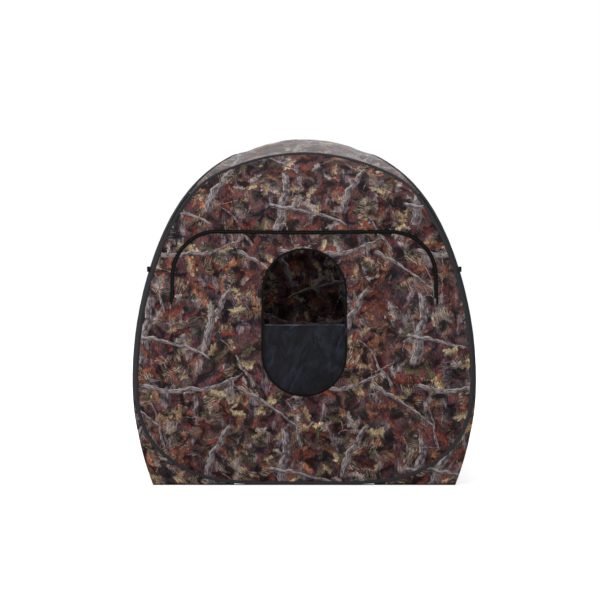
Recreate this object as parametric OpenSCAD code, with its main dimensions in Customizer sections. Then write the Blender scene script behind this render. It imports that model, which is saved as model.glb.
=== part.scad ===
// Pop up ground blind: four sprung steel hoops, each in the edge binding of one fabric wall,
// share their curved corner edges and part at the top, where a roof membrane closes the dome.
// Origin: centre of the footprint on the ground. X runs across the front, -Y is the front, +Z is up.
// Every wall follows one profile: at height z it stands half_width(z) from the middle.

/* [Dome] */
// Half of the greatest width, from the middle to a wall
wide_r = 796; // [760:1:830]
// Height at which the dome is widest
wide_z = 500; // [460:1:540]
// How strongly the walls tuck in towards the ground
foot_tuck = 0.42; // [0.30:0.01:0.50]
// How strongly the walls lean in above the widest height
crown_lean = 0.345; // [0.30:0.005:0.40]
// How strongly the walls turn over near the roof
crown_turn = 0.10; // [0.08:0.005:0.12]
// Height of the middle of each hoop's top arch
crown_z = 1572; // [1550:1:1585]
// Height at which neighbouring hoops part at a corner
split_z = 1416; // [1400:1:1430]
// Height of the roof's middle
roof_z = 1660; // [1640:1:1690]

/* [Hoops] */
// Radius of the spring steel wire
wire_r = 2.3; // [1.8:0.1:2.4]
// Outer radius of the edge binding
binding_r = 5.2; // [4.8:0.1:5.4]
// Half of the straight stretch of a hoop along the ground
foot_run = 300; // [250:5:340]
// Height at which a hoop's lower bend meets the corner edge
bend_z = 400; // [340:5:440]
// Distance of a hoop from the corner, along its wall
corner_gap = 10; // [9.5:0.1:12]

/* [Fabric] */
// Thickness of a soft sheet's solid
cloth_t = 3; // [2:0.1:4]
// Width of one half of a zip's tape
tape_w = 9; // [6:0.5:12]

/* [Front flap] */
// Half width of the flap, to the middle of its zip
flap_w = 615; // [560:5:640]
// Height of the fold that the flap hangs from
flap_fold_z = 885; // [860:1:900]
// Height of the zip's lower ends
flap_end_z = 858; // [845:1:860]
// Height of the zip along the top of the flap
flap_top_z = 1193; // [1160:1:1210]
// Radius of the zip's upper corners
flap_corner_r = 200; // [150:5:230]

/* [Windows] */
// Radius of the rounded ends of a window, half its width
window_r = 190; // [150:1:200]
// Height of the window's lower end
window_low_z = 438; // [420:1:500]
// Height of the window's upper end
window_high_z = 1110; // [1060:1:1112]
// Height of the fold across a window's cover
cover_fold_z = 766; // [720:1:800]
// Turn of the front cover from closed to hanging down inside
cover_open_deg = 165; // [120:1:166]

/* [Back door] */
// Half width of the door, to the middle of its zip
door_w = 310; // [260:5:340]
// Height of the fold at the foot of the door
door_fold_z = 130; // [125:1:150]
// Height of the zip's lower ends
door_end_z = 96; // [90:1:100]
// Height of the top of the door's zip
door_top_z = 1180; // [1100:5:1200]

/* [Fittings] */
// Height of the tie out loops on the corner edges
loop_z = 1020; // [900:5:1100]
// Radius of the hole in a stake grommet
grommet_r = 6; // [5:0.5:6.5]

/* [Hidden] */

FRONT = 0;
RIGHT = 1;
BACK = 2;
LEFT = 3;

// Running gap between the pieces on one wall, and between a wall and a binding
gap = 0.4;
// Height of the hem tape that lies under the bindings
hem_t = 2.4;
hem_w = 14;
// Height of a hoop's middle along the ground
foot_z = hem_t + gap + binding_r;
// Inner radius of the binding, round the wire and its ferrule
sleeve_r = 3.7;
ferrule_r = 3.1;
ferrule_length = 46;
// How far a zip tape stands out of the wall
tape_proud = 1.2;
tape_back = 1.5;
// A window's cover lies this far behind the wall and laps its edge
cover_gap = 0.5;
cover_t = 1.6;
cover_lap = 8;
cover_seam = 1;
profile_steps = 40;
profile_top_z = 1600;
loop_sides = 6;
// A panel's tapes start this far above its fold, so that they clear the ones below as it folds out
fold_relief = 4;
// Zip slider, its pin and its pull tab
slider_w = 9;
slider_h = 14;
slider_t = 3.2;
pin_r = 1;
pin_drop = 1;
pull_w = 3.2;
pull_length = 28;
// Place of a window's slider
window_slider_x = window_r + tape_w / 2;
window_slider_z = 744;
// Distance along X and Y of a stake grommet from the footprint's middle
stake_at = half_width(0) - 62;
tab_z = 1.2;
tab_t = 2;
barrel_r = grommet_r + 1.4;
flange_r = grommet_r + 5;

// ---- profile and outlines -------------------------------------------------------------

// Distance of a wall from the middle at height z
function half_width(z) =
    let (d = (z - wide_z) / 1000)
    wide_r * (1 - (d < 0 ? foot_tuck * d * d : crown_lean * d * d + crown_turn * pow(d, 8)));

function unit(v) = v / norm(v);

// Corner cutting: each inner point moves towards the mean of its neighbours, n times over
function relax(p, n) =
    n == 0 ? p :
    relax([for (i = [0:len(p) - 1])
        i == 0 || i == len(p) - 1 ? p[i] : (p[i - 1] + 2 * p[i] + p[i + 1]) / 4], n - 1);

// Right half of a hoop seen from outside its wall, [x, z] from the ground up to the crown
function hoop_half() =
    let (edge_x = half_width(bend_z) - corner_gap, top_x = half_width(split_z) - corner_gap)
    relax(concat(
        [for (i = [0:2]) [foot_run * i / 3, foot_z]],
        [for (a = [0:10:80])
            [foot_run + (edge_x - foot_run) * sin(a), bend_z - (bend_z - foot_z) * cos(a)]],
        [for (i = [0:10]) let (z = bend_z + (split_z - bend_z) * i / 10) [half_width(z) - corner_gap, z]],
        [for (i = [1:10]) let (u = 1 - i / 10) [top_x * u, crown_z - (crown_z - split_z) * u * u]]), 2);

// The whole hoop, anticlockwise from the middle of its foot
function hoop_loop() =
    let (h = hoop_half(), n = len(h))
    concat(h, [for (i = [n - 2:-1:1]) [-h[i][0], h[i][1]]]);

// A closed outline moved inwards by d
function inset(p, d) =
    let (n = len(p))
    [for (i = [0:n - 1]) let (t = unit(p[(i + 1) % n] - p[(i + n - 1) % n])) p[i] + d * [-t[1], t[0]]];

// Outline with round ends from low to high, grown by g
function stadium(r, low, high, g) =
    concat(
        [for (a = [0:7.5:180]) [(r + g) * cos(a), high - r + (r + g) * sin(a)]],
        [for (a = [180:7.5:360]) [(r + g) * cos(a), low + r + (r + g) * sin(a)]]);

// Outline of a gate with rounded upper corners, grown by g, with its foot at low
function gate(w, low, high, r, g) =
    concat(
        [[-w - g, low], [w + g, low]],
        [for (a = [0:9:90]) [w - r + (r + g) * cos(a), high - r + (r + g) * sin(a)]],
        [for (a = [90:9:180]) [-w + r + (r + g) * cos(a), high - r + (r + g) * sin(a)]]);

// A point of the front wall's middle surface
function on_wall(p) = [p[0], cloth_t / 2 - half_width(p[1]), p[1]];

// ---- shared shapes --------------------------------------------------------------------

// Turns a front piece to one of the four sides
module on_side(side) {
    rotate([0, 0, 90 * side]) children();
}

// Solid between two offsets of the front wall's profile, straight across X
module wall_band(outer, inner) {
    zs = [for (i = [0:profile_steps]) profile_top_z * i / profile_steps];
    outer_side = [for (z = zs) [-half_width(z) - outer, z]];
    inner_side = [for (i = [profile_steps:-1:0]) [inner - half_width(zs[i]), zs[i]]];
    rotate([90, 0, 90]) linear_extrude(2 * wide_r + 40, center = true)
        polygon(concat(outer_side, inner_side));
}

// The part of the band whose front view is the 2D child
module wall_piece(outer, inner) {
    intersection() {
        wall_band(outer, inner);
        rotate([90, 0, 0]) linear_extrude(wide_r + 40) children();
    }
}

// Section carried round the front hoop: [angle, radius] pairs, angle 0 pointing out of the loop
module swept_loop(section) {
    path = [for (p = hoop_loop()) on_wall(p)];
    n = len(path);
    m = len(section);
    points = [for (i = [0:n - 1])
        let (t = unit(path[(i + 1) % n] - path[(i + n - 1) % n]),
             a = unit(cross([0, 1, 0], t)),
             b = cross(t, a))
        for (s = section) path[i] + s[1] * (cos(s[0]) * a + sin(s[0]) * b)];
    faces = [for (i = [0:n - 1], j = [0:m - 1])
        let (p = i * m + j, q = i * m + (j + 1) % m)
        let (r = ((i + 1) % n) * m + (j + 1) % m, s = ((i + 1) % n) * m + j)
        each [[p, q, r], [p, r, s]]];
    polyhedron(points, faces);
}

// ---- hoops and bindings ---------------------------------------------------------------

// One closed loop of spring steel wire
module hoop(side) {
    color("slategray") on_side(side)
        swept_loop([for (k = [0:loop_sides - 1]) [30 - 360 / loop_sides * k, wire_r]]);
}

// Crimped tubes that join each wire's two ends, at the middle of the hoop's foot
module hoop_ferrules() {
    color("silver") for (side = [FRONT:LEFT]) on_side(side)
        translate(on_wall([0, foot_z])) rotate([0, 90, 0]) difference() {
            cylinder(h = ferrule_length, r = ferrule_r, center = true, $fn = 32);
            cylinder(h = ferrule_length + 2, r = wire_r + 0.05, center = true, $fn = 32);
        }
}

// Black tape folded round the wire, open towards the wall it is sewn to
module binding(side) {
    outer = [for (k = [0:loop_sides - 1]) [150 - 60 * k, binding_r]];
    inner = [for (k = [0:loop_sides - 1]) [-150 + 60 * k, sleeve_r]];
    color([0.06, 0.06, 0.07]) on_side(side) swept_loop(concat(outer, inner));
}

// ---- walls, roof and foot -------------------------------------------------------------

// The 2D outline of a wall, just inside its binding
module wall_outline() {
    polygon(inset(hoop_loop(), binding_r + gap));
}

module window_hole() {
    polygon(stadium(window_r, window_low_z, window_high_z, tape_w + gap));
}

module flap_hole() {
    polygon(gate(flap_w, flap_end_z, flap_top_z, flap_corner_r, tape_w + gap));
}

module door_hole() {
    polygon(gate(door_w, door_end_z, door_top_z, flap_corner_r, tape_w + gap));
}

// A 2D band between two heights, used to keep or drop a stretch of an outline
module between(low, high) {
    translate([-wide_r, low]) square([2 * wide_r, high - low]);
}

// Front wall: open where the flap and the window are, whole below the flap's fold
module front_wall() {
    color([0.25, 0.2, 0.17]) wall_piece(0, cloth_t) difference() {
        wall_outline();
        intersection() {
            flap_hole();
            between(flap_fold_z, flap_top_z + 100);
        }
        zip_stubs(flap_w, flap_end_z, flap_fold_z, tape_w + gap);
        window_hole();
    }
}

// 2D: the two short ends of a zip that run on below its panel's fold, grown by g
module zip_stubs(w, low, high, g) {
    for (m = [-1, 1]) translate([m * w - g, low - (g - tape_w)]) square([2 * g, high - low + 2 * g]);
}

module side_wall(side) {
    color([0.25, 0.2, 0.17]) on_side(side) wall_piece(0, cloth_t) difference() {
        wall_outline();
        window_hole();
    }
}

module back_wall() {
    color([0.25, 0.2, 0.17]) on_side(BACK) wall_piece(0, cloth_t) difference() {
        wall_outline();
        intersection() {
            door_hole();
            between(door_fold_z, door_top_z + 100);
        }
        zip_stubs(door_w, door_end_z, door_fold_z, tape_w + gap);
    }
}

// Drop of the roof's crown surface below its middle, at r from the axis
function crown_drop(r) = let (m = r / 1000) 911 * m * m / (1 + 1.95 * m * m);

// Roof membrane: a dome of revolution that ends at the four top arches. Its profile is the crown
// curve in the middle, and then the arch's own height at each radius, so it meets all four.
module roof() {
    tuck = binding_r + 1.2;
    rise = 2.6;
    tip_gap = 19;
    arch = [for (p = hoop_loop()) if (p[1] > split_z - 60 && half_width(p[1]) - abs(p[0]) > tip_gap)
        on_wall(p) + [0, tuck, rise]];
    n = len(arch);
    plan = [for (side = [FRONT:LEFT]) for (i = [n - 1:-1:0])
        let (p = arch[i], c = cos(90 * side), s = sin(90 * side))
        [p[0] * c - p[1] * s, p[0] * s + p[1] * c]];
    crown = [for (r = [0:30:300]) [r, roof_z - crown_drop(r)]];
    flank = [for (i = [ceil(n / 2) - 1:-1:0]) [norm([arch[i][0], arch[i][1]]), arch[i][2]]];
    top = concat(crown, flank);
    rings = 9;
    m = len(plan);
    skin = concat([[0, 0, roof_z]], [for (k = [1:rings], p = plan)
        let (q = sin(90 * k / rings) * p) [q[0], q[1], lookup(norm(q), top)]]);
    low = len(skin);
    ring = [for (k = [1:rings - 1], j = [0:m - 1])
        let (a = 1 + (k - 1) * m + j, b = 1 + (k - 1) * m + (j + 1) % m)
        each [[a, b, b + m], [a, b + m, a + m]]];
    lid = concat([for (j = [0:m - 1]) [0, 1 + (j + 1) % m, 1 + j]], ring);
    rim = [for (j = [0:m - 1])
        let (a = low - m + j, b = low - m + (j + 1) % m)
        each [[a, b, b + low], [a, b + low, a + low]]];
    under = [for (f = lid) [f[0] + low, f[2] + low, f[1] + low]];
    color([0.35, 0.32, 0.3])
        polyhedron(concat(skin, [for (p = skin) p - [0, 0, cloth_t]]), concat(lid, under, rim));
}

// Front view of one half of a gusset: outside the hoop's lower bend, down to the hem
module gusset_outline() {
    steps = 10;
    difference() {
        polygon(concat(
            [[foot_run * 0.8, hem_t + gap]],
            [for (i = [0:steps]) let (z = hem_t + gap + (bend_z - hem_t - gap) * i / steps)
                [half_width(z), z]],
            [[foot_run * 0.8, bend_z]]));
        polygon(inset(hoop_loop(), -binding_r - gap));
    }
}

// Ground corner piece: two flat ears that meet on the corner edge
module corner_gusset(side) {
    color([0.3, 0.26, 0.25]) on_side(side) {
        wall_piece(0, cloth_t) gusset_outline();
        on_side(RIGHT) wall_piece(0, cloth_t) mirror([1, 0]) gusset_outline();
    }
}

// Hem tape that lies on the ground under one wall, mitred at its ends
module hem(side) {
    outer = half_width(0) + 1;
    inner = outer - hem_w;
    mitre = gap / 2;
    color("black") on_side(side) linear_extrude(hem_t) polygon([
        [-outer + mitre, -outer], [outer - mitre, -outer], [inner - mitre, -inner], [-inner + mitre, -inner]]);
}

// ---- zips -----------------------------------------------------------------------------

// Zip tape on the wall's side of a folding panel, with both short stubs below the fold
module zip_wall_tape(w, end_z, fold_z, top_z) {
    color("black") wall_piece(tape_proud, tape_back) difference() {
        polygon(gate(w, end_z, top_z, flap_corner_r, tape_w));
        polygon(gate(w, fold_z - gap, top_z, flap_corner_r, -gap / 2));
        translate([tape_w - w, end_z - 1]) square([2 * (w - tape_w), fold_z - end_z + 1]);
    }
}

// Zip tape on the panel's side
module zip_panel_tape(w, fold_z, top_z) {
    color("black") wall_piece(tape_proud, tape_back) difference() {
        polygon(gate(w, fold_z + fold_relief, top_z, flap_corner_r, -gap / 2));
        polygon(gate(w, fold_z, top_z, flap_corner_r, -tape_w));
    }
}

// Zip tape round a window's edge, between two heights
module window_tape(low, high) {
    color("black") wall_piece(tape_proud, tape_back) intersection() {
        difference() {
            polygon(stadium(window_r, window_low_z, window_high_z, tape_w));
            polygon(stadium(window_r, window_low_z, window_high_z, 0));
        }
        between(low, high);
    }
}

// Places a slider's own frame on the front wall: origin on the tape, +Y into the wall, +Z up the zip
module on_zip(x, z) {
    reach = 5;
    lean = atan((half_width(z - reach) - half_width(z + reach)) / (2 * reach));
    translate([x, -half_width(z) - tape_proud - gap, z]) rotate([-lean, 0, 0]) children();
}

// Zip slider: a tapered body with two ears and the pin that the pull swings on
module slider() {
    color("dimgray") {
        rotate([90, 0, 0]) linear_extrude(slider_t) polygon([
            [-slider_w / 2, slider_h / 2], [-slider_w * 0.36, -slider_h / 2],
            [slider_w * 0.36, -slider_h / 2], [slider_w / 2, slider_h / 2]]);
        for (m = [-1, 1]) translate([m * (pull_w / 2 + 0.9), -slider_t, pin_drop])
            rotate([0, 90, 0]) linear_extrude(1.2, center = true)
                polygon([[-2.4, 1], [2.4, 1], [1.2, -3.4], [-1.2, -3.4]]);
        translate([0, -slider_t - 2, pin_drop]) rotate([0, 90, 0])
            cylinder(h = pull_w + 1.8, r = pin_r, center = true, $fn = 24);
    }
}

// Pull tab: an eye on the slider's pin, a narrow neck and a flat grip that hangs down
module pull() {
    grip_w = 8;
    grip_t = 1.6;
    color("gray") translate([0, -slider_t - 2, pin_drop]) {
        difference() {
            union() {
                rotate([0, 90, 0]) cylinder(h = pull_w - 0.6, r = 1.9, center = true, $fn = 32);
                translate([-1.2, -grip_t / 2 - 0.2, -8]) cube([2.4, grip_t, 7.4]);
            }
            rotate([0, 90, 0]) cylinder(h = pull_w + 2, r = pin_r + 0.05, center = true, $fn = 32);
        }
        difference() {
            translate([-grip_w / 2, -grip_t / 2 - 0.2, -pull_length])
                cube([grip_w, grip_t, pull_length - 8]);
            translate([0, 0, -pull_length + 5]) rotate([90, 0, 0])
                cylinder(h = 6, r = 2, center = true, $fn = 24);
        }
    }
}

// ---- flap, covers and door ------------------------------------------------------------

// The upper front panel inside the zip, with the upper part of the window cut out
module front_flap() {
    color([0.27, 0.22, 0.18]) wall_piece(0, cloth_t) difference() {
        polygon(gate(flap_w, flap_fold_z + gap, flap_top_z, flap_corner_r, -tape_w - gap));
        window_hole();
    }
}

module back_door() {
    color([0.27, 0.22, 0.18]) on_side(BACK) wall_piece(0, cloth_t)
        polygon(gate(door_w, door_fold_z + gap, door_top_z, flap_corner_r, -tape_w - gap));
}

// Coated cover behind a window, between two heights
module cover(low, high) {
    color([0.08, 0.09, 0.11])
        wall_piece(-cloth_t - cover_gap, cloth_t + cover_gap + cover_t) intersection() {
        polygon(stadium(window_r, window_low_z, window_high_z, cover_lap));
        between(low, high);
    }
}

module cover_low() {
    cover(window_low_z - 20, cover_fold_z - cover_seam);
}

// The part above the fold, turned down inside by turn degrees
module cover_high(turn) {
    fold_y = cloth_t + cover_gap + cover_t - half_width(cover_fold_z);
    translate([0, fold_y, cover_fold_z]) rotate([-turn, 0, 0]) translate([0, -fold_y, -cover_fold_z])
        cover(cover_fold_z + cover_seam, window_high_z + 20);
}

// Short straps with a toggle, sewn inside beside the front window to hold its rolled cover
module front_cover_ties() {
    strap_z = 796;
    strap_length = 74;
    strap_w = 15;
    toggle_r = 4;
    y = cloth_t + 1 - half_width(strap_z) + 6;
    color("black") for (m = [-1, 1]) translate([m * (window_r + tape_w + 26), y, strap_z]) {
        translate([-strap_w / 2, 0, -strap_length]) cube([strap_w, 1.5, strap_length]);
        translate([-strap_w / 2, -5.5, -10]) cube([strap_w, 5.6, 10]);
        translate([0, 1.5 + toggle_r - 0.5, -strap_length + 8]) rotate([0, 90, 0])
            cylinder(h = 24, r = toggle_r, center = true, $fn = 32);
    }
}

// ---- fittings -------------------------------------------------------------------------

// Webbing loop on each corner edge, its tail sewn in between the two bindings
module tie_out_loops() {
    width = 25;
    reach = 15;
    web = 1.6;
    color("black") for (side = [FRONT:LEFT]) on_side(side)
        translate([half_width(loop_z) + 1, -half_width(loop_z) - 1, loop_z - width / 2]) rotate([0, 0, -45])
            linear_extrude(width) {
                translate([-7, -0.5]) square([8, 1]);
                difference() {
                    loop_end(reach, 3.4);
                    translate([web, 0]) loop_end(reach - 2 * web, 3.4 - web);
                }
            }
}

// A flat loop seen along its webbing's width: a bar with round ends of radius r
module loop_end(reach, r) {
    translate([r, 0]) circle(r, $fn = 32);
    translate([reach, 0]) circle(r, $fn = 32);
    translate([r, -r]) square([reach - r, 2 * r]);
}

// Webbing tab that lies on the ground inside each corner
module stake_tabs() {
    tab_w = 26;
    tip = sqrt(2) * (half_width(0) + 1 - hem_w - gap - stake_at);
    shoulder = tip - tab_w / 2;
    color("black") for (side = [FRONT:LEFT]) on_side(side)
        translate([stake_at, -stake_at, tab_z]) rotate([0, 0, -45]) linear_extrude(tab_t) difference() {
            polygon([
                [-20, -tab_w / 2], [shoulder, -tab_w / 2], [tip, 0],
                [shoulder, tab_w / 2], [-20, tab_w / 2]]);
            circle(barrel_r + 0.1, $fn = 32);
        }
}

// Rolled brass eyelets in the tabs
module stake_grommets() {
    color("darkgoldenrod") for (side = [FRONT:LEFT]) on_side(side) translate([stake_at, -stake_at, 0])
        difference() {
            union() {
                cylinder(h = tab_z - 0.1, r = flange_r, $fn = 48);
                cylinder(h = 2 * tab_z + tab_t, r = barrel_r, $fn = 48);
                translate([0, 0, tab_z + tab_t + 0.1]) cylinder(h = tab_z - 0.1, r = flange_r, $fn = 48);
            }
            translate([0, 0, -1]) cylinder(h = 10, r = grommet_r, $fn = 48);
        }
}

// ---- nodes ----------------------------------------------------------------------------

hoop(FRONT);  // hoop_front
hoop(RIGHT);  // hoop_right
hoop(BACK);  // hoop_back
hoop(LEFT);  // hoop_left
hoop_ferrules();
binding(FRONT);  // binding_front
binding(RIGHT);  // binding_right
binding(BACK);  // binding_back
binding(LEFT);  // binding_left
front_wall();
side_wall(RIGHT);  // right_wall
back_wall();
side_wall(LEFT);  // left_wall
roof();
corner_gusset(FRONT);  // corner_gusset_front_right
corner_gusset(RIGHT);  // corner_gusset_back_right
corner_gusset(BACK);  // corner_gusset_back_left
corner_gusset(LEFT);  // corner_gusset_front_left
hem(FRONT);  // hem_front
hem(RIGHT);  // hem_right
hem(BACK);  // hem_back
hem(LEFT);  // hem_left
front_flap();
zip_wall_tape(flap_w, flap_end_z, flap_fold_z, flap_top_z);  // front_flap_zip_wall_tape
zip_panel_tape(flap_w, flap_fold_z, flap_top_z);  // front_flap_zip_flap_tape
on_zip(flap_w, flap_end_z + 12) slider();  // front_flap_slider
on_zip(flap_w, flap_end_z + 12) pull();  // front_flap_pull
window_tape(window_low_z - 20, flap_fold_z - gap);  // front_window_tape_low
window_tape(flap_fold_z + fold_relief, window_high_z + 20);  // front_window_tape_high
cover_low();  // front_cover_low
cover_high(cover_open_deg);  // front_cover_high
on_zip(window_slider_x, window_slider_z) slider();  // front_cover_slider
on_zip(window_slider_x, window_slider_z) pull();  // front_cover_pull
front_cover_ties();
on_side(RIGHT) window_tape(window_low_z - 20, window_high_z + 20);  // right_window_tape
on_side(RIGHT) cover_low();  // right_cover_low
on_side(RIGHT) cover_high(0);  // right_cover_high
on_side(RIGHT) on_zip(window_slider_x, window_slider_z) slider();  // right_cover_slider
on_side(RIGHT) on_zip(window_slider_x, window_slider_z) pull();  // right_cover_pull
on_side(LEFT) window_tape(window_low_z - 20, window_high_z + 20);  // left_window_tape
on_side(LEFT) cover_low();  // left_cover_low
on_side(LEFT) cover_high(0);  // left_cover_high
on_side(LEFT) on_zip(window_slider_x, window_slider_z) slider();  // left_cover_slider
on_side(LEFT) on_zip(window_slider_x, window_slider_z) pull();  // left_cover_pull
back_door();
on_side(BACK) zip_wall_tape(door_w, door_end_z, door_fold_z, door_top_z);  // back_door_zip_wall_tape
on_side(BACK) zip_panel_tape(door_w, door_fold_z, door_top_z);  // back_door_zip_door_tape
on_side(BACK) on_zip(door_w, door_end_z + 9) slider();  // back_door_slider
on_side(BACK) on_zip(door_w, door_end_z + 9) pull();  // back_door_pull
tie_out_loops();
stake_tabs();
stake_grommets();
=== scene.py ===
"""Pop up ground blind: printed cloth walls on four sprung steel hoops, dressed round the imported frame.

Lengths are metres. Each wall is a chart: x runs across it as seen from outside, z is the height, and the
wall stands half_width(z) from the middle. A chart point is lifted to its place, then turned to its side.
"""
import logging
import math
from dataclasses import dataclass, field
from enum import Enum, IntEnum
from typing import Callable, Optional, Sequence

import bpy
import numpy as np
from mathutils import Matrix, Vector


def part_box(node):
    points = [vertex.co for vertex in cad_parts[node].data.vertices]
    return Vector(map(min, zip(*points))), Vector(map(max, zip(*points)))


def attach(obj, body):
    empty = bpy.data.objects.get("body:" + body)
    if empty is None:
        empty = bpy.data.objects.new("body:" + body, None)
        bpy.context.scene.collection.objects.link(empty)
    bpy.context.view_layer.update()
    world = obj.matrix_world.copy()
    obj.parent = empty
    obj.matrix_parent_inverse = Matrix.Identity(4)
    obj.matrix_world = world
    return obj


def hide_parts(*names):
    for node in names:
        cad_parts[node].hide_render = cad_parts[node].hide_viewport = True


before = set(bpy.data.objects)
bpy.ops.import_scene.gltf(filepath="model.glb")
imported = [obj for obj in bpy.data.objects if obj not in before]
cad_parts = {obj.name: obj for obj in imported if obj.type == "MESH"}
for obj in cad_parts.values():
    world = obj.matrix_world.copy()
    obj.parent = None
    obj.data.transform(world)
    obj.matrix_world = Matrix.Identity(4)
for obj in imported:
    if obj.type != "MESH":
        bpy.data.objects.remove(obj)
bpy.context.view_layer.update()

Array = np.ndarray
LOG = logging.getLogger("blind")


class Side(IntEnum):
    """A side of the blind, in quarter turns from the front."""

    FRONT = 0
    RIGHT = 1
    BACK = 2
    LEFT = 3


class Held(Enum):
    """How a sheet of cloth is held."""

    STRETCHED = "stretched"
    FOLDED = "folded"


# ---- small array helpers ---------------------------------------------------------------


def unit(v: Array) -> Array:
    """Rows of v divided by their length."""
    return v / np.maximum(np.linalg.norm(v, axis=-1, keepdims=True), 1e-12)


def smoothstep(low: float, high: float, v: Array) -> Array:
    """0 at low, 1 at high and an even S between them."""
    t = np.clip((v - low) / (high - low), 0.0, 1.0)
    return t * t * (3.0 - 2.0 * t)


def circle(degrees: Array) -> Array:
    """Points of the unit circle at the given angles, (n, 2)."""
    a = np.radians(degrees)
    return np.stack([np.cos(a), np.sin(a)], axis=1)


def repeated(vector: Sequence[float], count: int) -> Array:
    """The same vector on every row, (count, 3)."""
    return np.tile(np.asarray(vector, dtype=float), (count, 1))


def turn_about_z(points: Array, quarters: int) -> Array:
    """Points turned by a number of quarter turns about +Z."""
    c, s = [(1, 0), (0, 1), (-1, 0), (0, -1)][quarters % 4]
    out = points.copy()
    out[..., 0] = points[..., 0] * c - points[..., 1] * s
    out[..., 1] = points[..., 0] * s + points[..., 1] * c
    return out


def noise(p: Array, scale: float, seed: int) -> Array:
    """Smooth value noise from -1 to 1: random values on a wrapped 64 by 64 lattice with cells of size
    scale, joined by the quintic 6t^5 - 15t^4 + 10t^3.

    Args:
        p: Points, (n, 2).
        scale: Size of a lattice cell.
        seed: Chooses the lattice.
    Returns:
        One value a point.
    """
    lattice = np.random.default_rng(seed).uniform(-1.0, 1.0, (64, 64))
    q = p / scale
    i = np.floor(q).astype(int)
    t = q - i
    w = t * t * t * (t * (6.0 * t - 15.0) + 10.0)
    x0, y0 = i[:, 0] % 64, i[:, 1] % 64
    x1, y1 = (x0 + 1) % 64, (y0 + 1) % 64
    low = lattice[x0, y0] * (1 - w[:, 0]) + lattice[x1, y0] * w[:, 0]
    high = lattice[x0, y1] * (1 - w[:, 0]) + lattice[x1, y1] * w[:, 0]
    return low * (1 - w[:, 1]) + high * w[:, 1]


def ridged(p: Array, scale: float, seed: int) -> Array:
    """Noise folded at zero, so it has soft valleys and sharp crests, from -1 to 1."""
    return 1.0 - 2.0 * np.sqrt(np.abs(noise(p, scale, seed)))


def resampled(line: Array, step: float, closed: bool) -> Array:
    """A polyline walked again at even steps of about the given length."""
    if closed:
        line = np.vstack([line, line[:1]])
    along = np.concatenate([[0.0], np.cumsum(np.linalg.norm(np.diff(line, axis=0), axis=1))])
    count = max(3, int(round(along[-1] / step)))
    at = np.linspace(0.0, along[-1], count + 1)
    out = np.stack([np.interp(at, along, line[:, k]) for k in range(line.shape[1])], axis=1)
    return out[:-1] if closed else out


def rounded(line: Array, closed: bool, times: int = 2) -> Array:
    """Chaikin's corner cutting: each span is cut at a quarter and three quarters, a few times over."""
    for _ in range(times):
        nxt = np.roll(line, -1, axis=0) if closed else line[1:]
        cur = line if closed else line[:-1]
        cut = np.stack([0.75 * cur + 0.25 * nxt, 0.25 * cur + 0.75 * nxt], axis=1).reshape(-1, line.shape[1])
        line = cut if closed else np.vstack([line[:1], cut, line[-1:]])
    return line


def inset(line: Array, depth: float) -> Array:
    """A closed anticlockwise outline moved inwards by depth, along the normals of its chords."""
    chord = unit(np.roll(line, -1, axis=0) - np.roll(line, 1, axis=0))
    return line + depth * np.stack([-chord[:, 1], chord[:, 0]], axis=1)


@dataclass
class Near:
    """What lies nearest on an outline: its distance (negative inside), place and way along."""

    distance: Array
    point: Array
    along: Array


def nearest(points: Array, outline: Array, closed: bool = True) -> Near:
    """Signed distance to a polyline. The foot of the perpendicular on each span is clamped to the span,
    and a point is inside where a ray to its right crosses the outline an odd number of times.

    Args:
        points: Chart points, (n, 2).
        outline: The polyline, (m, 2).
        closed: Whether the last point joins the first; an open line has no inside.
    Returns:
        The nearest place for each point.
    """
    a = outline if closed else outline[:-1]
    b = np.roll(outline, -1, axis=0) if closed else outline[1:]
    d = b - a
    length = np.linalg.norm(d, axis=1)
    start = np.concatenate([[0.0], np.cumsum(length)[:-1]])
    parts: list[tuple[Array, Array, Array]] = []
    for p in np.array_split(points, max(1, len(points) // 3000)):
        rel = p[:, None, :] - a[None]
        t = np.clip((rel * d).sum(-1) / np.maximum(length**2, 1e-16), 0.0, 1.0)
        off = rel - t[..., None] * d
        dist = np.hypot(off[..., 0], off[..., 1])
        k = dist.argmin(axis=1)
        rows = np.arange(len(p))
        foot = a[k] + t[rows, k, None] * d[k]
        straddles = (a[:, 1] > p[:, 1:]) != (b[:, 1] > p[:, 1:])
        with np.errstate(divide="ignore", invalid="ignore"):
            cross_x = a[:, 0] + (p[:, 1:] - a[:, 1]) * d[:, 0] / d[:, 1]
        odd = (straddles & (p[:, :1] < cross_x)).sum(axis=1) % 2 == 1
        sign = np.where(odd & closed, -1.0, 1.0)
        parts.append((dist[rows, k] * sign, foot, start[k] + t[rows, k] * length[k]))
    return Near(*[np.concatenate(x) for x in zip(*parts)])


# ---- the dome --------------------------------------------------------------------------


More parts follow.
